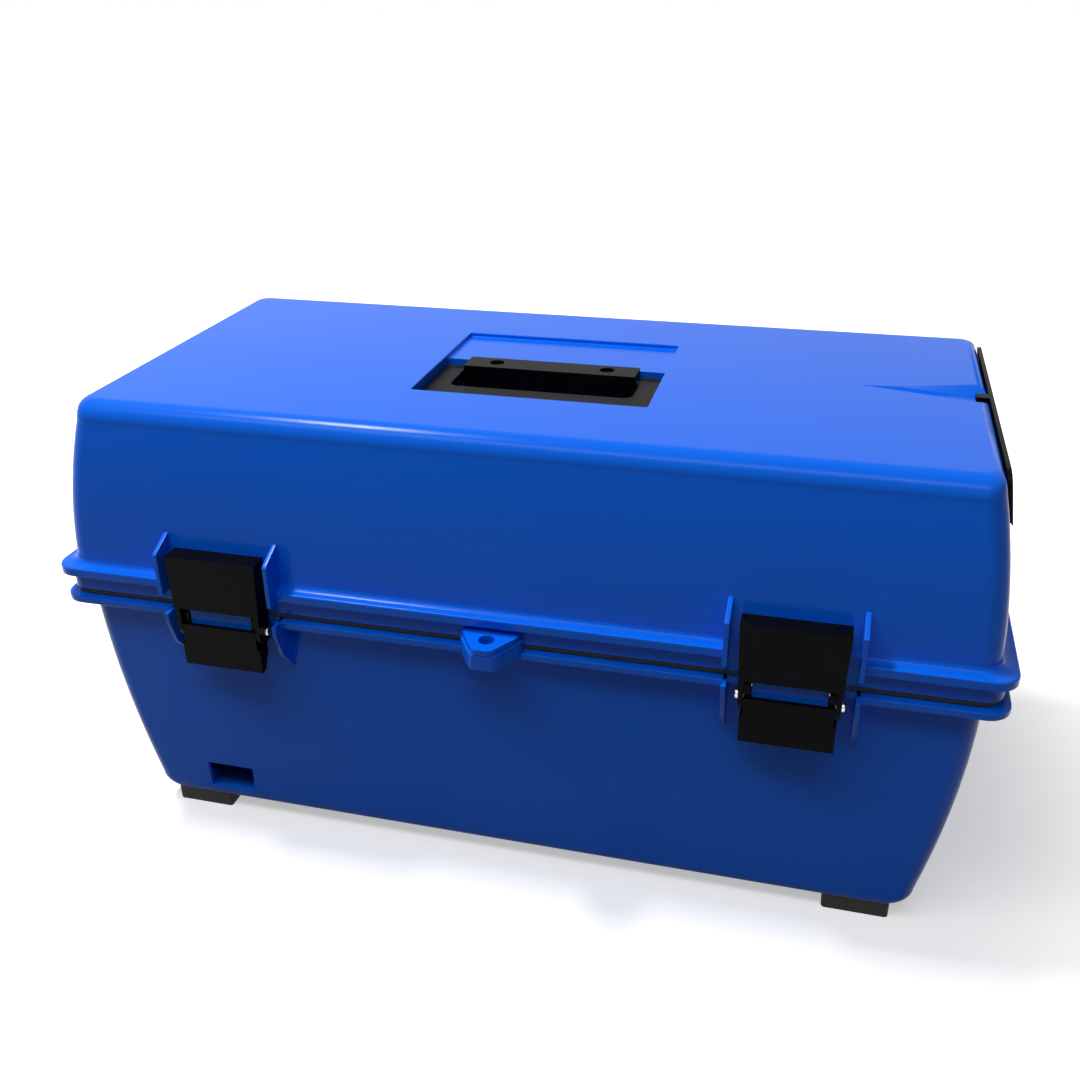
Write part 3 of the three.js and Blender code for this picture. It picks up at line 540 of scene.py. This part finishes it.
def front_port():
    """What is cut from the front wall for its low opening, with a soft outer edge."""
    foot = UNDERSIDE + PORT["foot"]
    middle = foot + PORT["height"] / 2
    wall = -base_section(middle)[1]
    half = PORT["half"]
    half_height = PORT["height"] / 2
    corner = 1
    levels = [Level(half, half_height, corner, PORT["deep"])]
    edge = PORT_EDGE["round"]
    for t in shares(5):
        angle = t * PORT_EDGE["turn"]
        flare = edge * (1 - math.cos(angle))
        z = edge * (1 - math.sin(angle))
        levels.append(Level(half + flare, half_height + flare, corner + flare, z))
    mouth = PORT_EDGE["mouth"]
    levels.append(Level(half + mouth, half_height + mouth, PORT_EDGE["corner"], -PORT_EDGE["stand"]))
    bm = stacked(levels)
    turn = Matrix.Rotation(-math.pi / 2, 4, "X")
    place = Matrix.Translation((PORT["x"], wall, middle))
    bmesh.ops.transform(bm, matrix=place @ turn, verts=bm.verts)
    return bm


def foot_bosses():
    """The bosses inside the base that take the screws of the feet."""
    bm = bmesh.new()
    top = UNDERSIDE + BASE_WALL + FOOT_BOSS["height"]
    for end in ("front", "rear"):
        for side, _ in SIDES:
            low, high = corners_mm(f"{end}_{side}_foot")
            spot = ((low.x + high.x) / 2, (low.y + high.y) / 2)
            add_rod(bm, "z", (UNDERSIDE + OVERRUN, top), spot, FOOT_BOSS["radius"])
    return bm


def base_shell():
    """The bowl, its rim, its bosses and the openings in it."""
    inner = bowl(BASE_WALL)
    mouth = inner[-1]._replace(z=RIM_TOP)
    shell = stacked(inner + [mouth] + base_rim() + list(reversed(bowl(0))))
    made = to_object("base_moulding", shell)
    carve(made, "UNION", foot_bosses())
    carve(made, "DIFFERENCE", latch_gap(RIM_FOOT - OVERRUN, RIM_TOP + OVERRUN), front_port())
    finish_piece(made, "base", BLUE, ["base_shell"])


def base_latch_mount(x):
    """Two ribs beside a latch, and the bar between its lever's ears."""
    bm = bmesh.new()
    wall = -base_section(RIM_FOOT)[1] + BASE_WALL / 2
    front = FRONT - BASE_RIB["out"]
    for side in (-1, 1):
        middle = x + side * RIB_X
        add_slab(bm, "x", (middle - RIB_THICK / 2, middle + RIB_THICK / 2), [
            (wall, RIM_TOP),
            (wall, RIM_TOP - BASE_RIB["foot"]),
            (wall - BASE_RIB["knee_out"], RIM_TOP - BASE_RIB["knee"]),
            (FRONT, RIM_TOP - BASE_RIB["waist"]),
            (front, RIM_TOP - BASE_RIB["shoulder"]),
            (front, RIM_TOP),
        ])
    bar_front = FRONT - BAR["out"]
    bar_foot = RIM_TOP - BAR["down"]
    bar_top = RIM_TOP + BAR["up"]
    bar_back = FRONT + CUT_BACK + BAR["root"]
    skirt_face = FRONT + SKIRT_INSET - ROOT
    add_slab(bm, "x", (x - BAR["half"], x + BAR["half"]), [
        (bar_front, bar_foot),
        (bar_back, bar_foot),
        (bar_back, RIM_TOP),
        (skirt_face, RIM_TOP),
        (skirt_face, bar_top),
        (bar_front, bar_top),
    ])
    return soften(bm, SOFT_EDGE)


def base_knuckles(x):
    """The base's two hinge knuckles, either side of the lid's, on their webs."""
    bm = bmesh.new()
    wall = base_section(RIM_FOOT)[1] - BASE_WALL / 2
    for side in (-1, 1):
        span = sorted((x + side * (KNUCKLE["lid_half"] + RUN), x + side * KNUCKLE["half"]))
        add_tube(bm, "x", span, (HINGE_Y, HINGE_Z), KNUCKLE["radius"], KNUCKLE["bore"])
        add_slab(bm, "x", span, [
            (wall, RIM_TOP - OVERRUN),
            (wall, RIM_TOP - KNUCKLE["web"]),
            (HINGE_Y, HINGE_Z - KNUCKLE["radius"] + SEAT),
            (HINGE_Y - KNUCKLE["web_back"], RIM_TOP - OVERRUN),
        ])
    return soften(bm, SOFT_EDGE)


def hasp_tab(wider, root, span):
    """One leaf of the padlock hasp, with the hole for the shackle."""
    bm = bmesh.new()
    low, high = span
    tip = FRONT - (HINGE_Y - LIP_Y) - KNUCKLE["radius"]
    half = HASP["half"] + wider
    tip_half = HASP["tip"] + wider
    right = [(tip_half, tip), (half, FRONT), (half, root)]
    left = [(-x, y) for x, y in reversed(right)]
    bm.faces.new([bm.verts.new((x, y, low)) for x, y in left + right])
    outer = [v for v in bm.verts if v.co.y < FRONT + 1]
    bmesh.ops.bevel(
        bm,
        geom=outer,
        affect="VERTICES",
        offset=HASP["corner"],
        segments=6,
        profile=0.5,
        material=-1,
    )
    bmesh.ops.delete(bm, geom=list(bm.faces), context="FACES_ONLY")
    hole = Matrix.Translation((0, FRONT - HASP_HOLE["out"], low))
    bmesh.ops.create_circle(bm, segments=40, radius=HASP_HOLE["radius"], matrix=hole)
    bmesh.ops.triangle_fill(bm, edges=bm.edges, use_beauty=True)
    made = bmesh.ops.extrude_face_region(bm, geom=list(bm.faces))
    bmesh.ops.translate(bm, verts=verts_of(made), vec=(0, 0, high - low))
    return soften(bm, SOFT_EDGE)


# ---- Lid
def end_wall(z):
    """How far out the end wall's face is: upright at the lip, leaning in ever more above it."""
    return LIP_X - END_SHELF - END_BELLY * (z - LIP_TOP) ** 2


def front_wall(z):
    """How far forward the front wall's face is."""
    above = z - LIP_TOP
    return LIP_Y - LIP_SHELF - FRONT_DRAFT * above - FRONT_BELLY * above**2


def dome(inset, foot):
    """The lid's levels above the lip, drawn in by inset."""
    round_foot = TOP - FRONT_ROUND
    radius = FRONT_ROUND - inset
    end_radius = END_ROUND - inset
    levels = []
    for t in shares(12):
        z = foot + (round_foot - foot) * t
        levels.append(Level(end_wall(z) - inset, front_wall(z) - inset, LID_CORNER - inset, z))
    for t in shares(18)[1:]:
        angle = t * math.pi / 2
        z = round_foot + radius * math.sin(angle)
        over = min(1, max(0, z - (TOP - END_ROUND)) / end_radius)
        ease = end_radius * (1 - math.sqrt(1 - over**2))
        corner = LID_CORNER + (TOP_CORNER - LID_CORNER) * t - inset
        y = front_wall(round_foot) - FRONT_ROUND + radius * math.cos(angle)
        levels.append(Level(end_wall(z) - inset - ease, y, corner, z))
    return levels


def lip():
    """The lip's levels: under it, round its edges and up the hollow curve to the wall."""
    corner = LID_CORNER + 2
    foot_edge = LIP_EDGE / 2
    levels = []
    for t in shares(3):
        angle = t * math.pi / 2
        tuck = foot_edge * (1 - math.sin(angle))
        z = LIP_FOOT + foot_edge * (1 - math.cos(angle))
        levels.append(Level(LIP_X - tuck, LIP_Y - tuck, corner, z))
    for t in shares(5):
        angle = t * math.pi / 2
        tuck = LIP_EDGE * (1 - math.cos(angle))
        z = LIP_TOP + LIP_EDGE * math.sin(angle)
        levels.append(Level(LIP_X - tuck, LIP_Y - tuck, corner, z))
    cove_foot = LIP_TOP + LIP_EDGE
    cove_top = cove_foot + COVE_HEIGHT
    wall_x = end_wall(cove_top)
    wall_y = front_wall(cove_top)
    for t in shares(10)[1:]:
        angle = t * math.pi / 2
        spread = 1 - math.sin(angle)
        x = wall_x + (LIP_X - LIP_EDGE - wall_x) * spread
        y = wall_y + (LIP_Y - LIP_EDGE - wall_y) * spread
        z = cove_foot + COVE_HEIGHT * (1 - math.cos(angle))
        levels.append(Level(x, y, corner - 2 * t, z))
    return levels, cove_top


def lid_levels():
    """The lid's levels: down its inside, round the skirt's foot and up its outside."""
    widest_x = SKIRT_X - LID_WALL
    widest_y = SKIRT_Y - LID_WALL
    mouth = Level(widest_x, widest_y, LID_CORNER - LID_WALL, SKIRT_FOOT)
    inner = [mouth, mouth._replace(z=LIP_FOOT - INSIDE_STEPS["below_lip"])]
    for level in dome(LID_WALL, LIP_TOP + INSIDE_STEPS["above_lip"]):
        x = min(level.x - END_THICKER, widest_x)
        inner.append(level._replace(x=x, y=min(level.y, widest_y)))
    skirt = [
        Level(SKIRT_X - SOFT_EDGE, SKIRT_Y - SOFT_EDGE, LID_CORNER, SKIRT_FOOT),
        Level(SKIRT_X, SKIRT_Y, LID_CORNER, SKIRT_FOOT + SOFT_EDGE),
        Level(SKIRT_X, SKIRT_Y, LID_CORNER, LIP_FOOT),
    ]
    edge, cove_top = lip()
    return list(reversed(inner)) + skirt + edge + dome(0, cove_top)[1:]


def recess(x_half, y_span, floor, foot_round, edge):
    """A hollow let into the top: a rounded foot, upright walls and a softly flared edge."""
    y_half = (y_span[1] - y_span[0]) / 2
    corner = RECESS_CORNER
    levels = []
    for t in shares(5):
        angle = t * math.pi / 2
        tuck = foot_round * (1 - math.sin(angle))
        level_z = floor + foot_round * (1 - math.cos(angle))
        levels.append(Level(x_half - tuck, y_half - tuck, corner, level_z))
    for t in shares(5):
        angle = t * RECESS_TURN
        flare = edge * (1 - math.cos(angle))
        z = TOP - edge + edge * math.sin(angle)
        levels.append(Level(x_half + flare, y_half + flare, corner + flare, z))
    last = levels[-1]
    above = TOP + ABOVE_TOP
    reach = (above - last.z) * math.tan(RECESS_TURN)
    levels.append(Level(last.x + reach, last.y + reach, last.corner + reach, above))
    bm = stacked(levels)
    bmesh.ops.translate(bm, vec=(0, sum(y_span) / 2, 0), verts=bm.verts)
    return bm


def groove(grow, far, lift):
    """The pipe rest: a hollow that widens and deepens from its tip to the end of the lid."""
    end = end_wall(TOP) + GROOVE["past"]
    start = end - GROOVE["length"]
    scale = (far - start) / GROOVE["length"]
    half = GROOVE["half"] * scale + grow
    deep = GROOVE["deep"] * scale + grow
    wide = half * (1 + lift / deep)
    bm = bmesh.new()
    outline = [(-wide, lift), (0, -deep), (wide, lift)]
    verts = [bm.verts.new((far, GROOVE["y"] + y, TOP + z)) for y, z in outline]
    bm.faces.new(verts)
    bmesh.ops.bevel(
        bm,
        geom=[verts[1]],
        affect="VERTICES",
        offset=GROOVE["round"],
        segments=10,
        profile=0.5,
        material=-1,
    )
    made = bmesh.ops.extrude_face_region(bm, geom=list(bm.faces))
    tip = Vector((start - 3 * grow, GROOVE["y"], TOP))
    for v in verts_of(made):
        aside = v.co.y - GROOVE["y"]
        up = v.co.z - TOP
        v.co = tip + Vector((0, aside * GROOVE_TIP, up * GROOVE_TIP if up < 0 else up))
    return bm


def cable_port():
    """What is cut from the end wall for the cable opening behind the cover."""
    bm = bmesh.new()
    half = CABLE_PORT["half"]
    low = TOP - CABLE_PORT["foot"]
    high = TOP - CABLE_PORT["top"]
    add_block(bm, (end_wall(TOP) - CABLE_PORT["deep"], LIP_X), (-half, half), (low, high))
    long_edges = [e for e in bm.edges if abs(e.verts[0].co.x - e.verts[1].co.x) > 1]
    bmesh.ops.bevel(
        bm,
        geom=long_edges,
        affect="EDGES",
        offset=CABLE_PORT["corner"],
        segments=5,
        profile=0.5,
        material=-1,
    )
    return bm


def cover_seat():
    """The shallow seat in the end wall that the end cover lies in."""
    foot = cover_low.z - SEAT
    hem_top = cover_low.z + COVER_SEAT["hem_height"]
    above = TOP + ABOVE_TOP
    hem_back = cover_high.x - COVER_SEAT["hem"] - SEAT
    plate_back = cover_high.x - COVER_SEAT["plate"] - SEAT
    return add_slab(bmesh.new(), "y", (cover_low.y - SEAT, cover_high.y + SEAT), [
        (LIP_X, foot),
        (hem_back, foot),
        (hem_back, hem_top),
        (plate_back - COVER_SEAT["lean"] * (hem_top - cover_low.z), hem_top),
        (plate_back - COVER_SEAT["lean"] * (above - cover_low.z), above),
        (LIP_X, above),
    ])


def under_lid():
    """What hangs under the lid's top: round the well, the shallow recess, the screws and the groove."""
    inside = TOP - LID_WALL / 2
    half = WELL["half"] + LID_WALL
    tub = bmesh.new()
    add_block(
        tub,
        (-half, half),
        (WELL["front"] - LID_WALL, WELL["back"] + LID_WALL),
        (WELL_FLOOR - LID_WALL, inside),
    )
    soften(tub, TUB_ROUND, 4)
    pad_half = half - LABEL_PAD["inset"]
    pad = add_block(
        bmesh.new(),
        (-pad_half, pad_half),
        (WELL["back"], LABEL["back"] + LID_WALL),
        (TOP - LABEL["deep"] - LID_WALL, inside - LABEL_PAD["drop"]),
    )
    bosses = bmesh.new()
    boss_top = WELL_FLOOR - OVERRUN
    for _, side in SIDES:
        spot = (side * CLAMP_BOSS["x"], CLAMP_BOSS["y"])
        add_rod(bosses, "z", (boss_top - CLAMP_BOSS["height"], boss_top), spot, CLAMP_BOSS["radius"])
    channel = groove(LID_WALL, end_wall(TOP) - OVERRUN, -LID_WALL / 2)
    return tub, pad, bosses, channel


def lid_shell():
    """The lid, what hangs under its top, and the hollows and openings in it."""
    made = to_object("lid_moulding", stacked(lid_levels()))
    carve(made, "UNION", *under_lid())
    half = WELL["half"]
    carve(
        made,
        "DIFFERENCE",
        latch_gap(SKIRT_FOOT - OVERRUN, LIP_TOP + GAP_ABOVE_LIP),
        recess(
            half,
            (WELL["back"] - LABEL["overlap"], LABEL["back"]),
            TOP - LABEL["deep"],
            LABEL_ROUND["foot"],
            LABEL_ROUND["edge"],
        ),
        recess(
            half,
            (WELL["front"], WELL["back"]),
            WELL_FLOOR,
            WELL_ROUND["foot"],
            WELL_ROUND["edge"],
        ),
        groove(0, end_wall(TOP) + GROOVE["past"] + GROOVE_CUT_PAST, ABOVE_TOP),
        cable_port(),
        cover_seat(),
    )
    finish_piece(made, "lid", BLUE, ["lid_shell"])


def lid_latch_mount(x):
    """Two ribs beside a latch, and the ledge that its hook bears on."""
    bm = bmesh.new()
    wall = -front_wall(LIP_TOP) + LID_WALL / 2
    out = FRONT - LID_RIB["out"]
    foot = LIP_FOOT - LID_RIB["foot"]
    ledge_top = RIM_TOP + LEDGE["up"]
    top = ledge_top + LID_RIB["above_ledge"]
    for side in (-1, 1):
        middle = x + side * RIB_X
        add_slab(bm, "x", (middle - RIB_THICK / 2, middle + RIB_THICK / 2), [
            (wall, foot),
            (out, foot),
            (out, top - LID_RIB["nose_drop"]),
            (out + LID_RIB["nose"], top),
            (wall, top + LID_RIB["rise"]),
        ])
    back = -front_wall(ledge_top) + LID_WALL / 2
    add_block(
        bm,
        (x - LEDGE["half"], x + LEDGE["half"]),
        (FRONT - LEDGE["out"], back),
        (ledge_top - LEDGE["thick"], ledge_top),
    )
    return soften(bm, SOFT_EDGE)


def lid_knuckle(x):
    """The lid's hinge knuckle, with the arm that carries it out from the skirt."""
    bm = bmesh.new()
    span = (x - KNUCKLE["lid_half"], x + KNUCKLE["lid_half"])
    wall = SKIRT_Y - LID_WALL / 2
    add_tube(bm, "x", span, (HINGE_Y, HINGE_Z), KNUCKLE["radius"], KNUCKLE["bore"])
    add_slab(bm, "x", span, [
        (wall, SKIRT_FOOT + ROOT),
        (HINGE_Y - LID_ARM["foot_back"], SKIRT_FOOT + ROOT),
        (HINGE_Y - LID_ARM["waist_back"], HINGE_Z + LID_ARM["waist_up"]),
        (HINGE_Y + LID_ARM["crown_out"], HINGE_Z + LID_ARM["crown_up"]),
        (LIP_Y, LIP_TOP),
        (wall, LIP_TOP),
    ])
    return soften(bm, SOFT_EDGE)


def cover_lugs():
    """The two lugs that carry the end cover's pin."""
    bm = bmesh.new()
    wall = end_wall(COVER_AXIS_Z) - LID_WALL - END_THICKER / 2
    radius = COVER_LUG["radius"]
    for _, side in SIDES:
        span = sorted((side * COVER_LUG["inner"], side * (COVER_LUG["inner"] + COVER_LUG["width"])))
        add_tube(bm, "y", span, (COVER_AXIS_X, COVER_AXIS_Z), radius, COVER_LUG["bore"], 32)
        web = (wall, COVER_AXIS_X - COVER_LUG["web_back"])
        add_block(bm, web, span, (COVER_AXIS_Z - radius, COVER_AXIS_Z + radius))
    return soften(bm, COVER_LUG["edge"])


# ---- Black mouldings, rubber and steel
def refined(node, body, material, edge, steps=3):
    """A smoother copy of a node's shape, with its sharp edges rounded."""
    bm = bmesh.new()
    bm.from_mesh(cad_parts[node].data)
    bmesh.ops.scale(bm, vec=(1000, 1000, 1000), verts=bm.verts)
    bmesh.ops.remove_doubles(bm, verts=bm.verts, dist=0.003)
    bmesh.ops.dissolve_limit(
        bm, angle_limit=math.radians(2), use_dissolve_boundaries=False, verts=bm.verts, edges=bm.edges
    )
    soften(bm, edge, steps)
    piece(f"{node}_moulding", bm, body, material, [node])


def round_pin(node, body, edge=PIN_EDGE, material=STEEL):
    """A plain pin along its node's longest side."""
    low, high = corners_mm(node)
    size = high - low
    axis = max("xyz", key=lambda name: getattr(size, name))
    others = [name for name in "xyz" if name != axis]
    middle = (low + high) / 2
    bm = add_rod(
        bmesh.new(),
        axis,
        (getattr(low, axis), getattr(high, axis)),
        [getattr(middle, name) for name in others],
        getattr(size, others[0]) / 2,
        40,
    )
    piece(f"{node}_turned", soften(bm, edge), body, material, [node])


def link_pin(node, body, side):
    """A pin with a domed head, which faces away from the latch."""
    low, high = corners_mm(node)
    middle = (low + high) / 2
    spot = (middle.y, middle.z)
    radius = (high.y - low.y) / 2
    outer = high.x if side > 0 else low.x
    inner = low.x if side > 0 else high.x
    shoulder = outer - side * LINK_PIN["head"]
    bm = bmesh.new()
    add_rod(bm, "x", sorted((inner, shoulder)), spot, LINK_PIN["shank"], 32)
    cap = bmesh.new()
    add_rod(cap, "x", sorted((shoulder, outer)), spot, radius, 40)
    rim = [e for e in cap.edges if all(abs(v.co.x - outer) < 0.01 for v in e.verts)]
    bmesh.ops.bevel(
        cap,
        geom=rim,
        affect="EDGES",
        offset=LINK_PIN["dome"],
        segments=6,
        profile=0.5,
        material=-1,
    )
    joined = bpy.data.meshes.new("cap")
    cap.to_mesh(joined)
    cap.free()
    bm.from_mesh(joined)
    bpy.data.meshes.remove(joined)
    piece(f"{node}_turned", bm, body, STEEL, [node])


def socket_screw(node, body, head_up, size, material):
    """A socket-head screw in its node's place."""
    low, high = corners_mm(node)
    spot = ((low.x + high.x) / 2, (low.y + high.y) / 2)
    radius = (high.x - low.x) / 2
    outer = high.z if head_up else low.z
    inner = low.z if head_up else high.z
    up = 1 if head_up else -1
    shoulder = outer - up * size["head"]
    head = add_rod(bmesh.new(), "z", sorted((shoulder, outer)), spot, radius)
    made = to_object(f"{node}_turned", soften(head, SCREW_HEAD["edge"], 3))
    shank = sorted((inner, shoulder + up * SCREW_HEAD["over_shank"]))
    stem = add_rod(bmesh.new(), "z", shank, spot, size["shank"], 32)
    carve(made, "UNION", stem)
    depth = sorted((outer - up * SOCKET["deep"], outer + up))
    socket = add_rod(bmesh.new(), "z", depth, spot, radius * SOCKET["share"], 6)
    carve(made, "DIFFERENCE", socket)
    finish_piece(made, body, material, [node])


# ---- Making the pieces
base_shell()
lid_shell()
for side_name, side in SIDES:
    x = side * LATCH_X
    piece(f"{side_name}_base_latch_mount", base_latch_mount(x), "base", BLUE)
    piece(f"{side_name}_base_knuckles", base_knuckles(x), "base", BLUE)
    piece(f"{side_name}_lid_latch_mount", lid_latch_mount(x), "lid", BLUE)
    piece(f"{side_name}_lid_knuckle", lid_knuckle(x), "lid", BLUE)
piece("cover_lugs", cover_lugs(), "lid", BLUE)
lid_tab_top = LIP_FOOT - HASP["drop"]
lid_tab = hasp_tab(0, FRONT + SKIRT_INSET + LID_WALL / 2, (lid_tab_top - HASP["thick"], lid_tab_top))
piece("lid_hasp_tab", lid_tab, "lid", BLUE)
base_tab_top = lid_tab_top - HASP["thick"] - RUN
base_tab_root = FRONT + SKIRT_INSET - BASE_HASP["root"]
base_tab = hasp_tab(BASE_HASP["wider"], base_tab_root, (RIM_TOP - BASE_HASP["drop"], base_tab_top))
piece("base_hasp_tab", base_tab, "base", BLUE)

refined("rim_gasket", "base", SEAL_RUBBER, EDGE_ROUND["rim_gasket"])
for node, body in (("carry_handle", "handle"), ("handle_clamp", "lid"), ("end_cover", "cover")):
    refined(node, body, BLACK, EDGE_ROUND[node])
for side_name, side in SIDES:
    for part in ("lever", "claw"):
        node = f"{side_name}_latch_{part}"
        refined(node, f"{side_name}_{part}", BLACK, LATCH_EDGE)
    round_pin(f"{side_name}_hinge_pin", "base")
    round_pin(f"{side_name}_handle_pin", "lid", material=BLACK_STEEL)
    round_pin(f"{side_name}_lever_pin", "base")
    socket_screw(f"{side_name}_clamp_screw", "lid", True, CLAMP_SCREW, BLACK_STEEL)
    for end_name, end in SIDES:
        link_pin(f"{side_name}_latch_{end_name}_link_pin", f"{side_name}_lever", end)
    for end_name in ("front", "rear"):
        foot = f"{end_name}_{side_name}_foot"
        refined(foot, "base", FOOT_RUBBER, FOOT_EDGE)
        socket_screw(f"{foot}_screw", "base", False, FOOT_SCREW, STEEL)
round_pin("end_cover_pin", "lid", COVER_PIN_EDGE)


# ---- Studio
SOFT_LIGHT = 0.13


def stage_finish():
    """Plain white for the camera and in reflections, paler grey for the light it throws back."""
    made = Finish("studio_floor", {"Roughness": 0.9, "Specular IOR Level": 0.1, "Emission Strength": 1})
    seen = made.seen_directly()
    reach = made.node("ShaderNodeVectorMath", {"operation": "LENGTH"}, {0: made.place}, "Value")
    glow = seen * (0.45 + made.between(reach, 0.3, 0.64) * 0.75)
    made.drive("Base Color", made.mix(seen, (0.1, 0.1, 0.1, 1), (0.8, 0.8, 0.8, 1)))
    made.drive("Emission Color", made.mix(glow, (0, 0, 0, 1), (1, 1, 1, 1)))
    return made.material


def studio_world():
    """Soft even light, which shows as white behind the box."""
    world = bpy.data.worlds.new("studio")
    bpy.context.scene.world = world
    made = Shading(world, "Background", {"Color": (1, 1, 1, 1)})
    made.drive("Strength", SOFT_LIGHT + made.seen_directly() * (1 - SOFT_LIGHT))


def area_light(name, place, size, power):
    """A soft lamp aimed at the middle of the box."""
    lamp = bpy.data.lights.new(name, "AREA")
    lamp.shape = "RECTANGLE"
    lamp.size = size[0]
    lamp.size_y = size[1]
    lamp.energy = power
    made = bpy.data.objects.new(name, lamp)
    bpy.context.scene.collection.objects.link(made)
    made.location = place
    aim = Vector((0, 0, 0.15)) - Vector(place)
    made.rotation_euler = aim.to_track_quat("-Z", "Y").to_euler()


def studio_camera():
    """A camera a little above the box and to the right of its middle."""
    camera = bpy.data.cameras.new("camera")
    camera.lens = 38.8
    camera.sensor_width = 36
    camera.clip_start = 0.01
    azimuth = math.radians(15.05)
    roll = math.radians(-0.83)
    forward = Vector((-0.232, 0.864, -0.448)).normalized()
    level_right = Vector((math.cos(azimuth), math.sin(azimuth), 0))
    level_up = level_right.cross(forward)
    right = math.cos(roll) * level_right + math.sin(roll) * level_up
    up = math.cos(roll) * level_up - math.sin(roll) * level_right
    made = bpy.data.objects.new("camera", camera)
    bpy.context.scene.collection.objects.link(made)
    turn = Matrix((right, up, -forward)).transposed().to_4x4()
    made.matrix_world = Matrix.Translation((0.1856, -0.7255, 0.5541)) @ turn
    bpy.context.scene.camera = made


floor_mesh = bpy.data.meshes.new("floor")
floor_shape = bmesh.new()
bmesh.ops.create_grid(floor_shape, x_segments=1, y_segments=1, size=12)
floor_shape.to_mesh(floor_mesh)
floor_shape.free()
floor_mesh.materials.append(stage_finish())
floor = bpy.data.objects.new("floor", floor_mesh)
bpy.context.scene.collection.objects.link(floor)

studio_world()
area_light("overhead", (-0.85, -0.02, 2.1), (0.5, 0.2), 36)
area_light("front_fill", (-0.3, -1.05, 2.0), (2.2, 0.5), 19.5)
studio_camera()
bpy.context.scene.view_settings.view_transform = "Standard"
